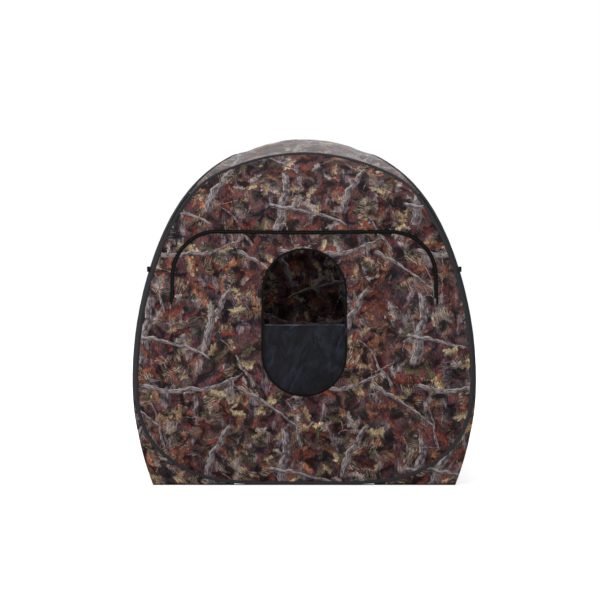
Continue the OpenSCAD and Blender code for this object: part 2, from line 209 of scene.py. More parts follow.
@dataclass(frozen=True)
class Dome:
    """The shape that every wall shares, from the same driving sizes as the frame."""

    wide_r: float = 0.796
    wide_z: float = 0.500
    foot_tuck: float = 0.42
    crown_lean: float = 0.345
    crown_turn: float = 0.10
    crown_z: float = 1.572
    split_z: float = 1.416
    roof_z: float = 1.660
    foot_run: float = 0.300
    bend_z: float = 0.400
    corner_gap: float = 0.010
    foot_z: float = 0.008

    def half_width(self, z: Array) -> Array:
        """wide_r (1 - tuck d^2) below the widest height and wide_r (1 - lean d^2 - turn d^8) above it,
        where d is the height above the widest one."""
        d = np.asarray(z) - self.wide_z
        low = self.foot_tuck * d * d
        high = self.crown_lean * d * d + self.crown_turn * d**8
        return self.wide_r * (1.0 - np.where(d < 0, low, high))

    def slope(self, z: Array) -> Array:
        """How fast half_width grows with height."""
        e = 1e-4
        return (self.half_width(z + e) - self.half_width(z - e)) / (2 * e)

    def climb(self, z: Array) -> Array:
        """Length of the wall's profile from the ground up to z."""
        at = np.linspace(0.0, 1.7, 800)
        steps = np.hypot(np.diff(at), np.diff(self.half_width(at)))
        return np.interp(z, at, np.concatenate([[0.0], np.cumsum(steps)]))

    def hoop(self) -> Array:
        """Chart outline of a hoop, anticlockwise from the middle of its foot: a straight foot, a quarter
        ellipse, the corner edge and a parabola over the top, evened twice with weights 1, 2, 1."""
        edge_x = float(self.half_width(self.bend_z)) - self.corner_gap
        top_x = float(self.half_width(self.split_z)) - self.corner_gap
        a = np.radians(np.arange(0, 81, 10))
        bend = np.stack([self.foot_run + (edge_x - self.foot_run) * np.sin(a),
                         self.bend_z - (self.bend_z - self.foot_z) * np.cos(a)], axis=1)
        z = np.linspace(self.bend_z, self.split_z, 11)
        edge = np.stack([self.half_width(z) - self.corner_gap, z], axis=1)
        u = np.linspace(0.9, 0.0, 10)
        arch = np.stack([top_x * u, self.crown_z - (self.crown_z - self.split_z) * u * u], axis=1)
        foot = np.stack([self.foot_run * np.arange(3) / 3, np.full(3, self.foot_z)], axis=1)
        half = np.vstack([foot, bend, edge, arch])
        for _ in range(2):
            half[1:-1] = (half[:-2] + 2 * half[1:-1] + half[2:]) / 4
        loop = np.vstack([half, half[-2:0:-1] * [-1, 1]])
        return rounded(loop, closed=True)


DOME = Dome()
BINDING_R = 0.0062
CLOTH_T = 0.0011
SHEET_STEP = 0.0092


@dataclass(frozen=True)
class Gate:
    """An upside down U: half width, foot, top and corner radius of a zipped panel."""

    half: float
    foot: float
    top: float
    corner: float = 0.200

    def line(self, grow: float = 0.0, foot: Optional[float] = None) -> Array:
        """The open line of the zip, from the left foot over the top to the right foot."""
        low = self.foot if foot is None else foot
        middle = [self.corner - self.half, self.top - self.corner]
        bend = middle + (self.corner + grow) * circle(np.linspace(180, 90, 13))
        left = np.array([[-self.half - grow, low]])
        return np.vstack([left, bend, bend[::-1] * [-1, 1], left * [-1, 1]])

    def outline(self, grow: float = 0.0, foot: Optional[float] = None) -> Array:
        """The closed outline, anticlockwise."""
        return self.line(grow, foot)[::-1]


@dataclass(frozen=True)
class Window:
    """A window with round ends: half its width, its two ends, and the fold across its cover."""

    r: float = 0.190
    low: float = 0.438
    high: float = 1.110
    fold: float = 0.766

    def outline(self, grow: float = 0.0) -> Array:
        """The closed outline, anticlockwise: two half circles joined by straight sides."""
        arc = (self.r + grow) * circle(np.linspace(0, 180, 33))
        return np.vstack([[0.0, self.high - self.r] + arc, [0.0, self.low + self.r] - arc])


FLAP = Gate(half=0.615, foot=0.858, top=1.193)
FLAP_FOLD = 0.885
DOOR = Gate(half=0.310, foot=0.096, top=1.180)
DOOR_FOLD = 0.130
WINDOW = Window()
TAPE_W = 0.009


# ---- meshes ----------------------------------------------------------------------------


def make_mesh(name: str, points: Array, faces: Sequence[Array], uv: Optional[Array] = None,
              smooth: bool = True) -> bpy.types.Object:
    """Puts arrays into a new mesh object at the origin.

    Args:
        name: The piece's name.
        points: Vertices, (n, 3).
        faces: Arrays of faces, each (m, 3) or (m, 4).
        uv: One UV a vertex, (n, 2).
        smooth: Whether the faces are shaded smooth.
    Returns:
        The object, linked to the scene.
    """
    faces = [np.asarray(f, dtype=np.int32) for f in faces if len(f)]
    loops = np.concatenate([f.ravel() for f in faces])
    sizes = np.concatenate([np.full(len(f), f.shape[1], dtype=np.int32) for f in faces])
    starts = np.concatenate([[0], np.cumsum(sizes)[:-1]]).astype(np.int32)
    mesh = bpy.data.meshes.new(name)
    mesh.vertices.add(len(points))
    mesh.vertices.foreach_set("co", np.ascontiguousarray(points, dtype=np.float32).ravel())
    mesh.loops.add(len(loops))
    mesh.loops.foreach_set("vertex_index", loops)
    mesh.polygons.add(len(sizes))
    mesh.polygons.foreach_set("loop_start", starts)
    mesh.polygons.foreach_set("use_smooth", np.full(len(sizes), smooth))
    mesh.update(calc_edges=True)
    if uv is not None:
        layer = mesh.uv_layers.new(name="cloth")
        layer.data.foreach_set("uv", np.ascontiguousarray(uv[loops], dtype=np.float32).ravel())
    mesh.validate()
    obj = bpy.data.objects.new(name, mesh)
    bpy.context.scene.collection.objects.link(obj)
    return obj


def trimmed_grid(outer: Array, holes: Sequence[Array], step: float) -> tuple[Array, Array]:
    """A square grid cut to an outline: cells with a corner well inside are kept, and their other corners
    are moved to the nearest place on the outline that they cross.

    Args:
        outer: Closed outline of the cloth.
        holes: Closed outlines of its openings.
        step: Size of a cell.
    Returns:
        Chart points (n, 2) and quads (m, 4), anticlockwise.
    """
    lo, hi = outer.min(axis=0) - step, outer.max(axis=0) + step
    nx, nz = (int(math.ceil(v)) + 1 for v in (hi - lo) / step)
    xs = lo[0] + step * np.arange(nx)
    zs = lo[1] + step * np.arange(nz)
    grid = np.stack(np.meshgrid(xs, zs, indexing="ij"), axis=-1).reshape(-1, 2)
    near = nearest(grid, outer)
    depth, foot = near.distance, near.point
    for hole in holes:
        other = nearest(grid, hole)
        closer = -other.distance > depth
        depth = np.where(closer, -other.distance, depth)
        foot = np.where(closer[:, None], other.point, foot)
    inside = depth < -0.3 * step
    i, j = np.meshgrid(np.arange(nx - 1), np.arange(nz - 1), indexing="ij")
    a = (i * nz + j).ravel()
    quads = np.stack([a, a + nz, a + nz + 1, a + 1], axis=1)
    quads = quads[inside[quads].any(axis=1)]
    moved = np.where(inside[:, None], grid, foot)
    used, index = np.unique(quads, return_inverse=True)
    return moved[used], index.reshape(-1, 4)


def rim_edges(faces: Array) -> Array:
    """Directed edges that only one face has, (k, 2)."""
    edges = np.concatenate([np.stack([faces[:, k], faces[:, (k + 1) % faces.shape[1]]], axis=1)
                            for k in range(faces.shape[1])])
    edges = edges[edges[:, 0] != edges[:, 1]]
    key = edges.min(axis=1).astype(np.int64) * (edges.max() + 1) + edges.max(axis=1)
    _, index, count = np.unique(key, return_inverse=True, return_counts=True)
    return edges[count[index] == 1]


def thick_sheet(name: str, outside: Array, normals: Array, faces: Array, uv: Array,
                thickness: float = CLOTH_T) -> bpy.types.Object:
    """A closed sheet: the outer layer, the same layer moved inwards, and a rim round every edge.

    Args:
        name: The piece's name.
        outside: Outer layer's points.
        normals: Outward unit vector at each point.
        faces: Outer layer's faces, anticlockwise from outside.
        uv: One UV a point.
        thickness: Distance between the layers.
    Returns:
        The object; its mesh has material index 1 on the inner layer.
    """
    n = len(outside)
    rim = rim_edges(faces)
    wall = np.stack([rim[:, 1], rim[:, 0], rim[:, 0] + n, rim[:, 1] + n], axis=1)
    points = np.vstack([outside, outside - normals * thickness])
    obj = make_mesh(name, points, [faces, faces[:, ::-1] + n, wall], np.vstack([uv, uv]))
    inner = np.zeros(len(obj.data.polygons), dtype=np.int32)
    inner[len(faces):2 * len(faces)] = 1
    if len(obj.data.polygons) == 2 * len(faces) + len(wall):
        obj.data.polygons.foreach_set("material_index", inner)
    return obj


def swept(path: Array, across: Array, out: Array, section: Array, closed: bool) -> tuple[Array, Array, Array]:
    """A section carried along a path: point = path + s across + t out for each (s, t) of the section.

    Args:
        path: Points, (n, 3).
        across: Unit vectors along the section's first axis, (n, 3).
        out: Unit vectors along its second axis, (n, 3).
        section: Closed outline, (m, 2).
        closed: Whether the path joins up; an open one gets end caps.
    Returns:
        Points, quads and UVs (metres round the section, metres along the path).
    """
    n, m = len(path), len(section)
    points = path[:, None] + section[None, :, :1] * across[:, None] + section[None, :, 1:] * out[:, None]
    rows = np.arange(n if closed else n - 1)
    i, j = np.meshgrid(rows, np.arange(m), indexing="ij")
    i2, j2 = (i + 1) % n, (j + 1) % m
    quads = np.stack([i * m + j, i * m + j2, i2 * m + j2, i2 * m + j], axis=-1).reshape(-1, 4)
    girth = np.concatenate([[0], np.cumsum(np.linalg.norm(np.diff(section, axis=0), axis=1))])
    run = np.concatenate([[0], np.cumsum(np.linalg.norm(np.diff(path, axis=0), axis=1))])
    uv = np.stack(np.meshgrid(run, girth, indexing="ij"), axis=-1)[..., ::-1].reshape(-1, 2)
    flat = points.reshape(-1, 3)
    ring = np.roll(points[0], -1, axis=0) - points[0]
    along = points[1 % n] - points[0]
    mid = points[0].mean(axis=0)
    facing = (np.cross(ring, along) * (points[0] - mid)).sum()
    return flat, quads if facing > 0 else quads[:, ::-1], uv


def end_caps(n: int, m: int, quads: Array) -> list[Array]:
    """Fans of triangles that close the two ends of an open sweep of n rings of m points."""
    start = np.arange(1, m - 1)
    cap = np.stack([np.zeros(m - 2, int), start, start + 1], axis=1)
    forward = quads[0][1] == 1
    first = cap[:, ::-1] if forward else cap
    last = (cap if forward else cap[:, ::-1]) + (n - 1) * m
    return [first, last]


def scattered(template: Array, faces: Array, origin: Array, axes: Array) -> tuple[Array, Array]:
    """Copies of a small shape: point = origin + x a0 + y a1 + z a2 with each place's own axes.

    Args:
        template: The shape's points, (k, 3).
        faces: Its faces, (f, 4).
        origin: Places, (n, 3).
        axes: Axes at each place, (n, 3, 3), one a row.
    Returns:
        All points and all faces.
    """
    points = origin[:, None] + np.einsum("kc,ncd->nkd", template, axes)
    shift = (np.arange(len(origin)) * len(template))[:, None, None]
    return points.reshape(-1, 3), (faces[None] + shift).reshape(-1, faces.shape[1])


def pill(length: float, width: float, height: float) -> tuple[Array, Array]:
    """A small loaf with sloping ends: a ring of four points at each end and a wider one between."""
    corners = np.array([[-1, -1], [1, -1], [1, 1], [-1, 1]]) * [0.5 * width, 0.5 * height]
    rings = ((-0.5, 0.45), (-0.25, 1.0), (0.25, 1.0), (0.5, 0.45))
    points = np.concatenate([np.column_stack([np.full(4, t * length), corners * k]) for t, k in rings])
    quads = [[r * 4 + j, r * 4 + (j + 1) % 4, (r + 1) * 4 + (j + 1) % 4, (r + 1) * 4 + j]
             for r in range(3) for j in range(4)]
    return points, np.array(quads + [[3, 2, 1, 0], [12, 13, 14, 15]])


# ---- cloth relief ----------------------------------------------------------------------


@dataclass(frozen=True)
class Relief:
    """How far the cloth of one wall stands out of its smooth profile.

    The relief is a sum: broad billows; soft crumples; gathers that hang from the top arch and fade with
    depth; puckers along the hoop, the zip and the window; and slanting pulls towards the lower bends.
    """

    seed: int
    gate: Optional[Gate] = None
    window: Optional[Window] = None
    billow: float = 0.007
    gather: float = 0.0062
    crumple: float = 0.0030

    def depth(self, p: Array) -> Array:
        """Outward distance in metres at chart points p."""
        hoop = nearest(p, DOME.hoop())
        inside = np.maximum(-hoop.distance, 0.0)
        free = smoothstep(0.0, 0.10, inside)
        out = self.billow * noise(p, 0.42, self.seed) * free
        bent = p * [1.0, 0.45] + 0.02 * noise(p, 0.1, self.seed + 1)[:, None]
        out += self.crumple * ridged(bent, 0.11, self.seed + 2) * free
        out += 0.45 * self.crumple * ridged(p, 0.052, self.seed + 3) * free
        lean = p[:, 0] + 0.18 * noise(p, 0.3, self.seed + 4)
        comb = noise(np.stack([lean, 0.16 * p[:, 1]], axis=1), 0.024, self.seed + 5)
        hang = np.exp(-np.maximum(1.52 - 0.5 * p[:, 0] ** 2 - p[:, 1], 0.0) / 0.17)
        out += self.gather * comb * hang * smoothstep(0.0, 0.03, inside)
        edge = noise(np.stack([hoop.along, inside * 0.35], axis=1), 0.021, self.seed + 6)
        out += 0.0022 * edge * np.exp(-inside / 0.045) * smoothstep(0.0, 0.012, inside)
        for sign in (-1.0, 1.0):
            rel = p - [sign * 0.72, 0.16]
            ray = np.arctan2(rel[:, 1], -sign * rel[:, 0])
            away = np.linalg.norm(rel, axis=1)
            pull = noise(np.stack([ray, away * 0.1], axis=1), 0.085, self.seed + 7)
            out += 0.0034 * pull * np.exp(-away / 0.42) * free
        if self.gate is not None:
            line = nearest(p, self.gate.line(), closed=False)
            tug = noise(np.stack([line.along, line.distance * 0.3], axis=1), 0.026, self.seed + 8)
            out += 0.0024 * tug * np.exp(-line.distance / 0.045) * smoothstep(0.004, 0.018, line.distance)
        if self.window is not None:
            line = nearest(p, self.window.outline())
            gap = np.abs(line.distance)
            tug = noise(np.stack([line.along, gap * 0.3], axis=1), 0.034, self.seed + 9)
            out += 0.0022 * tug * np.exp(-gap / 0.05) * smoothstep(0.004, 0.02, gap)
        return out


@dataclass
class WallShape:
    """Turns chart points of one side into places on the blind."""

    side: Side
    relief: Relief

    def frame_at(self, p: Array) -> tuple[Array, Array, Array]:
        """Unit vectors across the wall, up the wall and out of it at chart points p, in the row frame."""
        slope = DOME.slope(p[:, 1])
        zero, one = np.zeros(len(p)), np.ones(len(p))
        across = np.stack([one, zero, zero], axis=1)
        up = unit(np.stack([zero, -slope, one], axis=1))
        out = unit(np.stack([zero, -one, -slope], axis=1))
        return tuple(turn_about_z(v, self.side) for v in (across, up, out))

    def place(self, p: Array, proud: Array | float = 0.0, relief: bool = True) -> Array:
        """Chart points lifted onto the wall, proud metres out of it."""
        slope = DOME.slope(p[:, 1])
        out = unit(np.stack([np.zeros(len(p)), -np.ones(len(p)), -slope], axis=1))
        base = np.stack([p[:, 0], -DOME.half_width(p[:, 1]), p[:, 1]], axis=1)
        lift = np.broadcast_to(np.asarray(proud, dtype=float), (len(p),)).copy()
        if relief:
            lift += self.relief.depth(p)
        return turn_about_z(base + out * lift[:, None], self.side)

    def uv(self, p: Array) -> Array:
        """Metres across and up the cloth, with each side's print cut from another place of the roll."""
        shift = np.array([[0.0, 0.0], [0.37, 0.21], [0.11, 0.45], [0.52, 0.08]])[self.side]
        return np.stack([p[:, 0], DOME.climb(p[:, 1])], axis=1) + shift


# ---- finishes --------------------------------------------------------------------------


class Graph:
    """Short hands for adding nodes to a node tree."""

    def __init__(self, tree: bpy.types.NodeTree) -> None:
        """Keeps the tree."""
        self.tree = tree

    def add(self, kind: str, **settings: object) -> bpy.types.Node:
        """A new node with its properties set."""
        node = self.tree.nodes.new(kind)
        for key, value in settings.items():
            setattr(node, key, value)
        return node

    def feed(self, socket: bpy.types.NodeSocket, value: object) -> None:
        """Links an output to a socket, or sets the socket's own value."""
        if isinstance(value, bpy.types.NodeSocket):
            self.tree.links.new(value, socket)
        elif value is not None:
            socket.default_value = value

    def math(self, operation: str, a: object, b: object = None, c: object = None,
             clamp: bool = False) -> bpy.types.NodeSocket:
        """A Math node's result."""
        node = self.add("ShaderNodeMath", operation=operation, use_clamp=clamp)
        for socket, value in zip(node.inputs, (a, b, c)):
            self.feed(socket, value)
        return node.outputs[0]

    def vector(self, operation: str, a: object, b: object = None, c: object = None,
               scale: object = None) -> bpy.types.NodeSocket:
        """A Vector Math node's vector."""
        node = self.add("ShaderNodeVectorMath", operation=operation)
        for socket, value in zip(node.inputs[:3], (a, b, c)):
            self.feed(socket, value)
        if scale is not None:
            self.feed(node.inputs["Scale"], scale)
        return node.outputs["Vector"]

    def length(self, a: object) -> bpy.types.NodeSocket:
        """A vector's length."""
        node = self.add("ShaderNodeVectorMath", operation="LENGTH")
        self.feed(node.inputs[0], a)
        return node.outputs["Value"]

    def span(self, value: object, low: float, high: float, to_low: float = 0.0, to_high: float = 1.0,
             soft: bool = True) -> bpy.types.NodeSocket:
        """value mapped from low..high to to_low..to_high, clamped."""
        node = self.add("ShaderNodeMapRange", interpolation_type="SMOOTHSTEP" if soft else "LINEAR")
        for socket, v in zip(node.inputs[:5], (value, low, high, to_low, to_high)):
            self.feed(socket, v)
        return node.outputs[0]

    def blend(self, factor: object, a: object, b: object, mode: str = "MIX") -> bpy.types.NodeSocket:
        """Colour a blended with colour b."""
        node = self.add("ShaderNodeMix", data_type="RGBA", blend_type=mode)
        self.feed(node.inputs[0], factor)
        self.feed(node.inputs[6], a)
        self.feed(node.inputs[7], b)
        return node.outputs[2]

    def noise(self, vector: object, scale: float, detail: float = 2.0, rough: float = 0.5,
              flat: bool = True, distortion: float = 0.0) -> bpy.types.Node:
        """A Noise Texture node."""
        node = self.add("ShaderNodeTexNoise", noise_dimensions="2D" if flat else "3D")
        self.feed(node.inputs["Vector"], vector)
        node.inputs["Scale"].default_value = scale
        node.inputs["Detail"].default_value = detail
        node.inputs["Roughness"].default_value = rough
        node.inputs["Distortion"].default_value = distortion
        return node

    def ramp(self, value: object, stops: Sequence[tuple[float, tuple[float, float, float]]],
             mode: str = "LINEAR") -> bpy.types.NodeSocket:
        """A Color Ramp through the given (position, colour) stops."""
        node = self.add("ShaderNodeValToRGB")
        ramp = node.color_ramp
        ramp.interpolation = mode
        while len(ramp.elements) < len(stops):
            ramp.elements.new(0.5)
        for element, (at, colour) in zip(ramp.elements, stops):
            element.position = at
            element.color = (*colour, 1.0)
        self.feed(node.inputs[0], value)
        return node.outputs[0]

    def split(self, vector: object) -> list[bpy.types.NodeSocket]:
        """The three parts of a vector."""
        node = self.add("ShaderNodeSeparateXYZ")
        self.feed(node.inputs[0], vector)
        return list(node.outputs)

    def join(self, x: object, y: object, z: object = 0.0) -> bpy.types.NodeSocket:
        """A vector from its parts."""
        node = self.add("ShaderNodeCombineXYZ")
        for socket, value in zip(node.inputs, (x, y, z)):
            self.feed(socket, value)
        return node.outputs[0]

    def turned(self, vector: object, angle: object) -> bpy.types.NodeSocket:
        """A vector turned about Z by an angle in radians."""
        node = self.add("ShaderNodeVectorRotate", rotation_type="Z_AXIS")
        self.feed(node.inputs["Vector"], vector)
        self.feed(node.inputs["Angle"], angle)
        return node.outputs[0]

    def group(self, tree: bpy.types.NodeTree, **inputs: object) -> bpy.types.Node:
        """A group node with its inputs fed; an underscore in a name stands for a space."""
        node = self.add("ShaderNodeGroup", node_tree=tree)
        for key, value in inputs.items():
            self.feed(node.inputs[key.replace("_", " ")], value)
        return node


def new_group(name: str, inputs: dict[str, tuple[str, object]], outputs: dict[str, str]
              ) -> tuple[bpy.types.NodeTree, Graph, bpy.types.Node, bpy.types.Node]:
    """An empty shader node group.

    Args:
        name: The group's name.
        inputs: Socket name to (kind, default), the kind being Float, Vector or Color.
        outputs: Socket name to kind.
    Returns:
        The tree, a Graph on it, its input node and its output node.
    """
    tree = bpy.data.node_groups.new(name, "ShaderNodeTree")
    for key, (kind, default) in inputs.items():
        socket = tree.interface.new_socket(name=key, in_out="INPUT", socket_type=f"NodeSocket{kind}")
        if default is not None:
            socket.default_value = default
    for key, kind in outputs.items():
        tree.interface.new_socket(name=key, in_out="OUTPUT", socket_type=f"NodeSocket{kind}")
    graph = Graph(tree)
    return tree, graph, graph.add("NodeGroupInput"), graph.add("NodeGroupOutput")


Colour = tuple[float, float, float]
TILE = 0.64


def branch_group() -> bpy.types.NodeTree:
    """A printed branch: a bent, tapering stroke with rough bark, repeated with the print's tile.

    The chart point is wrapped to the tile round the branch's middle and turned to run along it. The
    stroke covers |across - bend along^2 - wobble| below its half width, which tapers along it.
    """
    tree, g, at, out = new_group(
        "printed_branch",
        {"Vector": ("Vector", None), "Middle": ("Vector", None), "Angle": ("Float", 0.0),
         "Length": ("Float", 0.4), "Width": ("Float", 0.02), "Bend": ("Float", 0.5), "Taper": ("Float", 0.6)},
        {"Mask": "Float", "Bark": "Float"})
    away = g.vector("SUBTRACT", at.outputs["Vector"], at.outputs["Middle"])
    half = TILE / 2
    wrapped = g.vector("WRAP", away, (half, half, 1.0), (-half, -half, -1.0))
    along, across, _ = g.split(g.turned(wrapped, g.math("MULTIPLY", at.outputs["Angle"], -1.0)))
    wobble = g.noise(g.join(g.math("MULTIPLY", along, 7.0), at.outputs["Angle"]), 1.0, 2.0).outputs[0]
    bent = g.math("MULTIPLY", g.math("MULTIPLY", along, along), at.outputs["Bend"])
    bent = g.math("ADD", bent, g.math("MULTIPLY", g.math("SUBTRACT", wobble, 0.5), 0.05))
    across = g.math("SUBTRACT", across, bent)
    way = g.math("DIVIDE", along, at.outputs["Length"])
    thin = g.math("SUBTRACT", 1.0, g.math("MULTIPLY", g.math("ADD", way, 0.5), at.outputs["Taper"]))
    half_width = g.math("MULTIPLY", thin, g.math("MULTIPLY", at.outputs["Width"], 0.5))
    bark = g.noise(g.join(g.math("MULTIPLY", along, 34.0), g.math("MULTIPLY", across, 150.0),
                          at.outputs["Angle"]), 1.0, 4.0, 0.65, flat=False).outputs[0]
    ragged = g.math("MULTIPLY", half_width, g.span(bark, 0.25, 0.75, 0.72, 1.22))
    inside = g.math("SUBTRACT", ragged, g.math("ABSOLUTE", across))
    mask = g.span(inside, 0.0, 0.0022)
    ends = g.span(g.math("ABSOLUTE", way), 0.5, 0.44)
    ratio = g.math("DIVIDE", across, half_width)
    light = g.math("ADD", 0.62, g.math("MULTIPLY", ratio, 0.30))
    crack = g.span(bark, 0.38, 0.60, 0.25, 1.0)
    g.feed(out.inputs["Mask"], g.math("MULTIPLY", mask, ends))
    g.feed(out.inputs["Bark"], g.math("MULTIPLY", light, crack, clamp=True))
    return tree


def leaf_group() -> bpy.types.NodeTree:
    """Printed leaves, one in each cell of a jittered net, turned, toothed and veined.

    In polar form a leaf's edge is size (0.6 + 0.3 cos 2a)(1 + teeth cos 9a), pinched across its middle.
    Chance is the share of cells that hold a leaf.
    """
    tree, g, at, out = new_group(
        "printed_leaves",
        {"Vector": ("Vector", None), "Net": ("Float", 10.0), "Size": ("Float", 0.05),
         "Teeth": ("Float", 0.14), "Chance": ("Float", 0.6)},
        {"Mask": "Float", "Pick": "Float", "Shade": "Float"})
    net = g.add("ShaderNodeTexVoronoi", voronoi_dimensions="2D", feature="F1")
    g.feed(net.inputs["Vector"], at.outputs["Vector"])
    g.feed(net.inputs["Scale"], at.outputs["Net"])
    local = g.vector("SUBTRACT", at.outputs["Vector"], net.outputs["Position"])
    pick_a, pick_b, pick_c = g.split(net.outputs["Color"])
    x, y, _ = g.split(g.turned(local, g.math("MULTIPLY", pick_a, 6.2832)))
    angle = g.math("ARCTAN2", y, x)
    radius = g.length(local)
    pinch = g.math("ADD", 0.62, g.math("MULTIPLY", g.math("COSINE", g.math("MULTIPLY", angle, 2.0)), 0.32))
    tooth = g.math("COSINE", g.math("MULTIPLY", angle, 9.0))
    tooth = g.math("ADD", 1.0, g.math("MULTIPLY", tooth, at.outputs["Teeth"]))
    grown = g.math("MULTIPLY", at.outputs["Size"], g.span(pick_c, 0.0, 1.0, 0.7, 1.25, soft=False))
    edge = g.math("MULTIPLY", grown, g.math("MULTIPLY", pinch, tooth))
    inside = g.math("SUBTRACT", edge, radius)
    here = g.math("LESS_THAN", pick_b, at.outputs["Chance"])
    g.feed(out.inputs["Mask"], g.math("MULTIPLY", g.span(inside, 0.0, 0.0018), here))
    g.feed(out.inputs["Pick"], g.math("FRACT", g.math("MULTIPLY", g.math("ADD", pick_a, pick_c), 7.3)))
    rib = g.span(g.math("ABSOLUTE", y), 0.0006, 0.0022, 1.0, 0.0)
    rows = g.math("ADD", x, g.math("MULTIPLY", g.math("ABSOLUTE", y), -0.9))
    vein = g.math("ABSOLUTE", g.math("SUBTRACT", g.math("FRACT", g.math("DIVIDE", rows, 0.011)), 0.5))
    vein = g.span(vein, 0.0, 0.13, 0.7, 0.0)
    veins = g.math("MAXIMUM", rib, vein)
    lit = g.math("ADD", 0.5, g.math("MULTIPLY", g.math("DIVIDE", y, grown), 0.9))
    dark_edge = g.span(inside, 0.0, 0.006, 0.35, 1.0)
    shade = g.math("MULTIPLY", g.math("ADD", lit, g.math("MULTIPLY", veins, 0.35)), dark_edge, clamp=True)
    g.feed(out.inputs["Shade"], shade)
    return tree


@dataclass(frozen=True)
class Branch:
    """One branch of the woodland print, in tile units."""

    x: float
    y: float
    angle: float
    length: float
    width: float
    bend: float
    taper: float = 0.55


BRANCHES = (
    Branch(0.12, 0.47, 7.0, 0.50, 0.030, 0.75, 0.45),
    Branch(0.47, 0.40, -34.0, 0.34, 0.024, -0.7, 0.6),
    Branch(0.54, 0.12, 84.0, 0.36, 0.046, 0.3, 0.25),
    Branch(0.22, 0.18, 66.0, 0.30, 0.040, -0.7, 0.4),
    Branch(0.34, 0.60, 124.0, 0.28, 0.018, 0.9, 0.7),
    Branch(0.02, 0.05, -14.0, 0.40, 0.026, -0.8, 0.6),
    Branch(0.60, 0.31, 108.0, 0.26, 0.016, 1.2, 0.7),
)
LEAVES = (
    (0.00, (0.150, 0.042, 0.030)), (0.14, (0.255, 0.118, 0.070)), (0.27, (0.085, 0.020, 0.022)),
    (0.40, (0.400, 0.330, 0.200)), (0.50, (0.080, 0.072, 0.044)), (0.62, (0.175, 0.070, 0.046)),
    (0.76, (0.300, 0.270, 0.255)), (0.88, (0.300, 0.215, 0.130)))


def toned(g: Graph, patch: bpy.types.Node, spread: float, streak: bpy.types.NodeSocket
          ) -> bpy.types.NodeSocket:
    """A leaf's ink: its palette colour times its shading, broken up by the print's streaks."""
    pick = g.math("FRACT", g.math("MULTIPLY", patch.outputs["Pick"], spread))
    lit = g.ramp(patch.outputs["Shade"], [(0.0, (0.16, 0.13, 0.16)), (0.5, (0.75, 0.72, 0.72)),
                                          (1.0, (1.75, 1.65, 1.55))])
    tint = g.blend(1.0, g.ramp(pick, LEAVES, "CONSTANT"), lit, "MULTIPLY")
    return g.blend(0.85, tint, streak, "MULTIPLY")


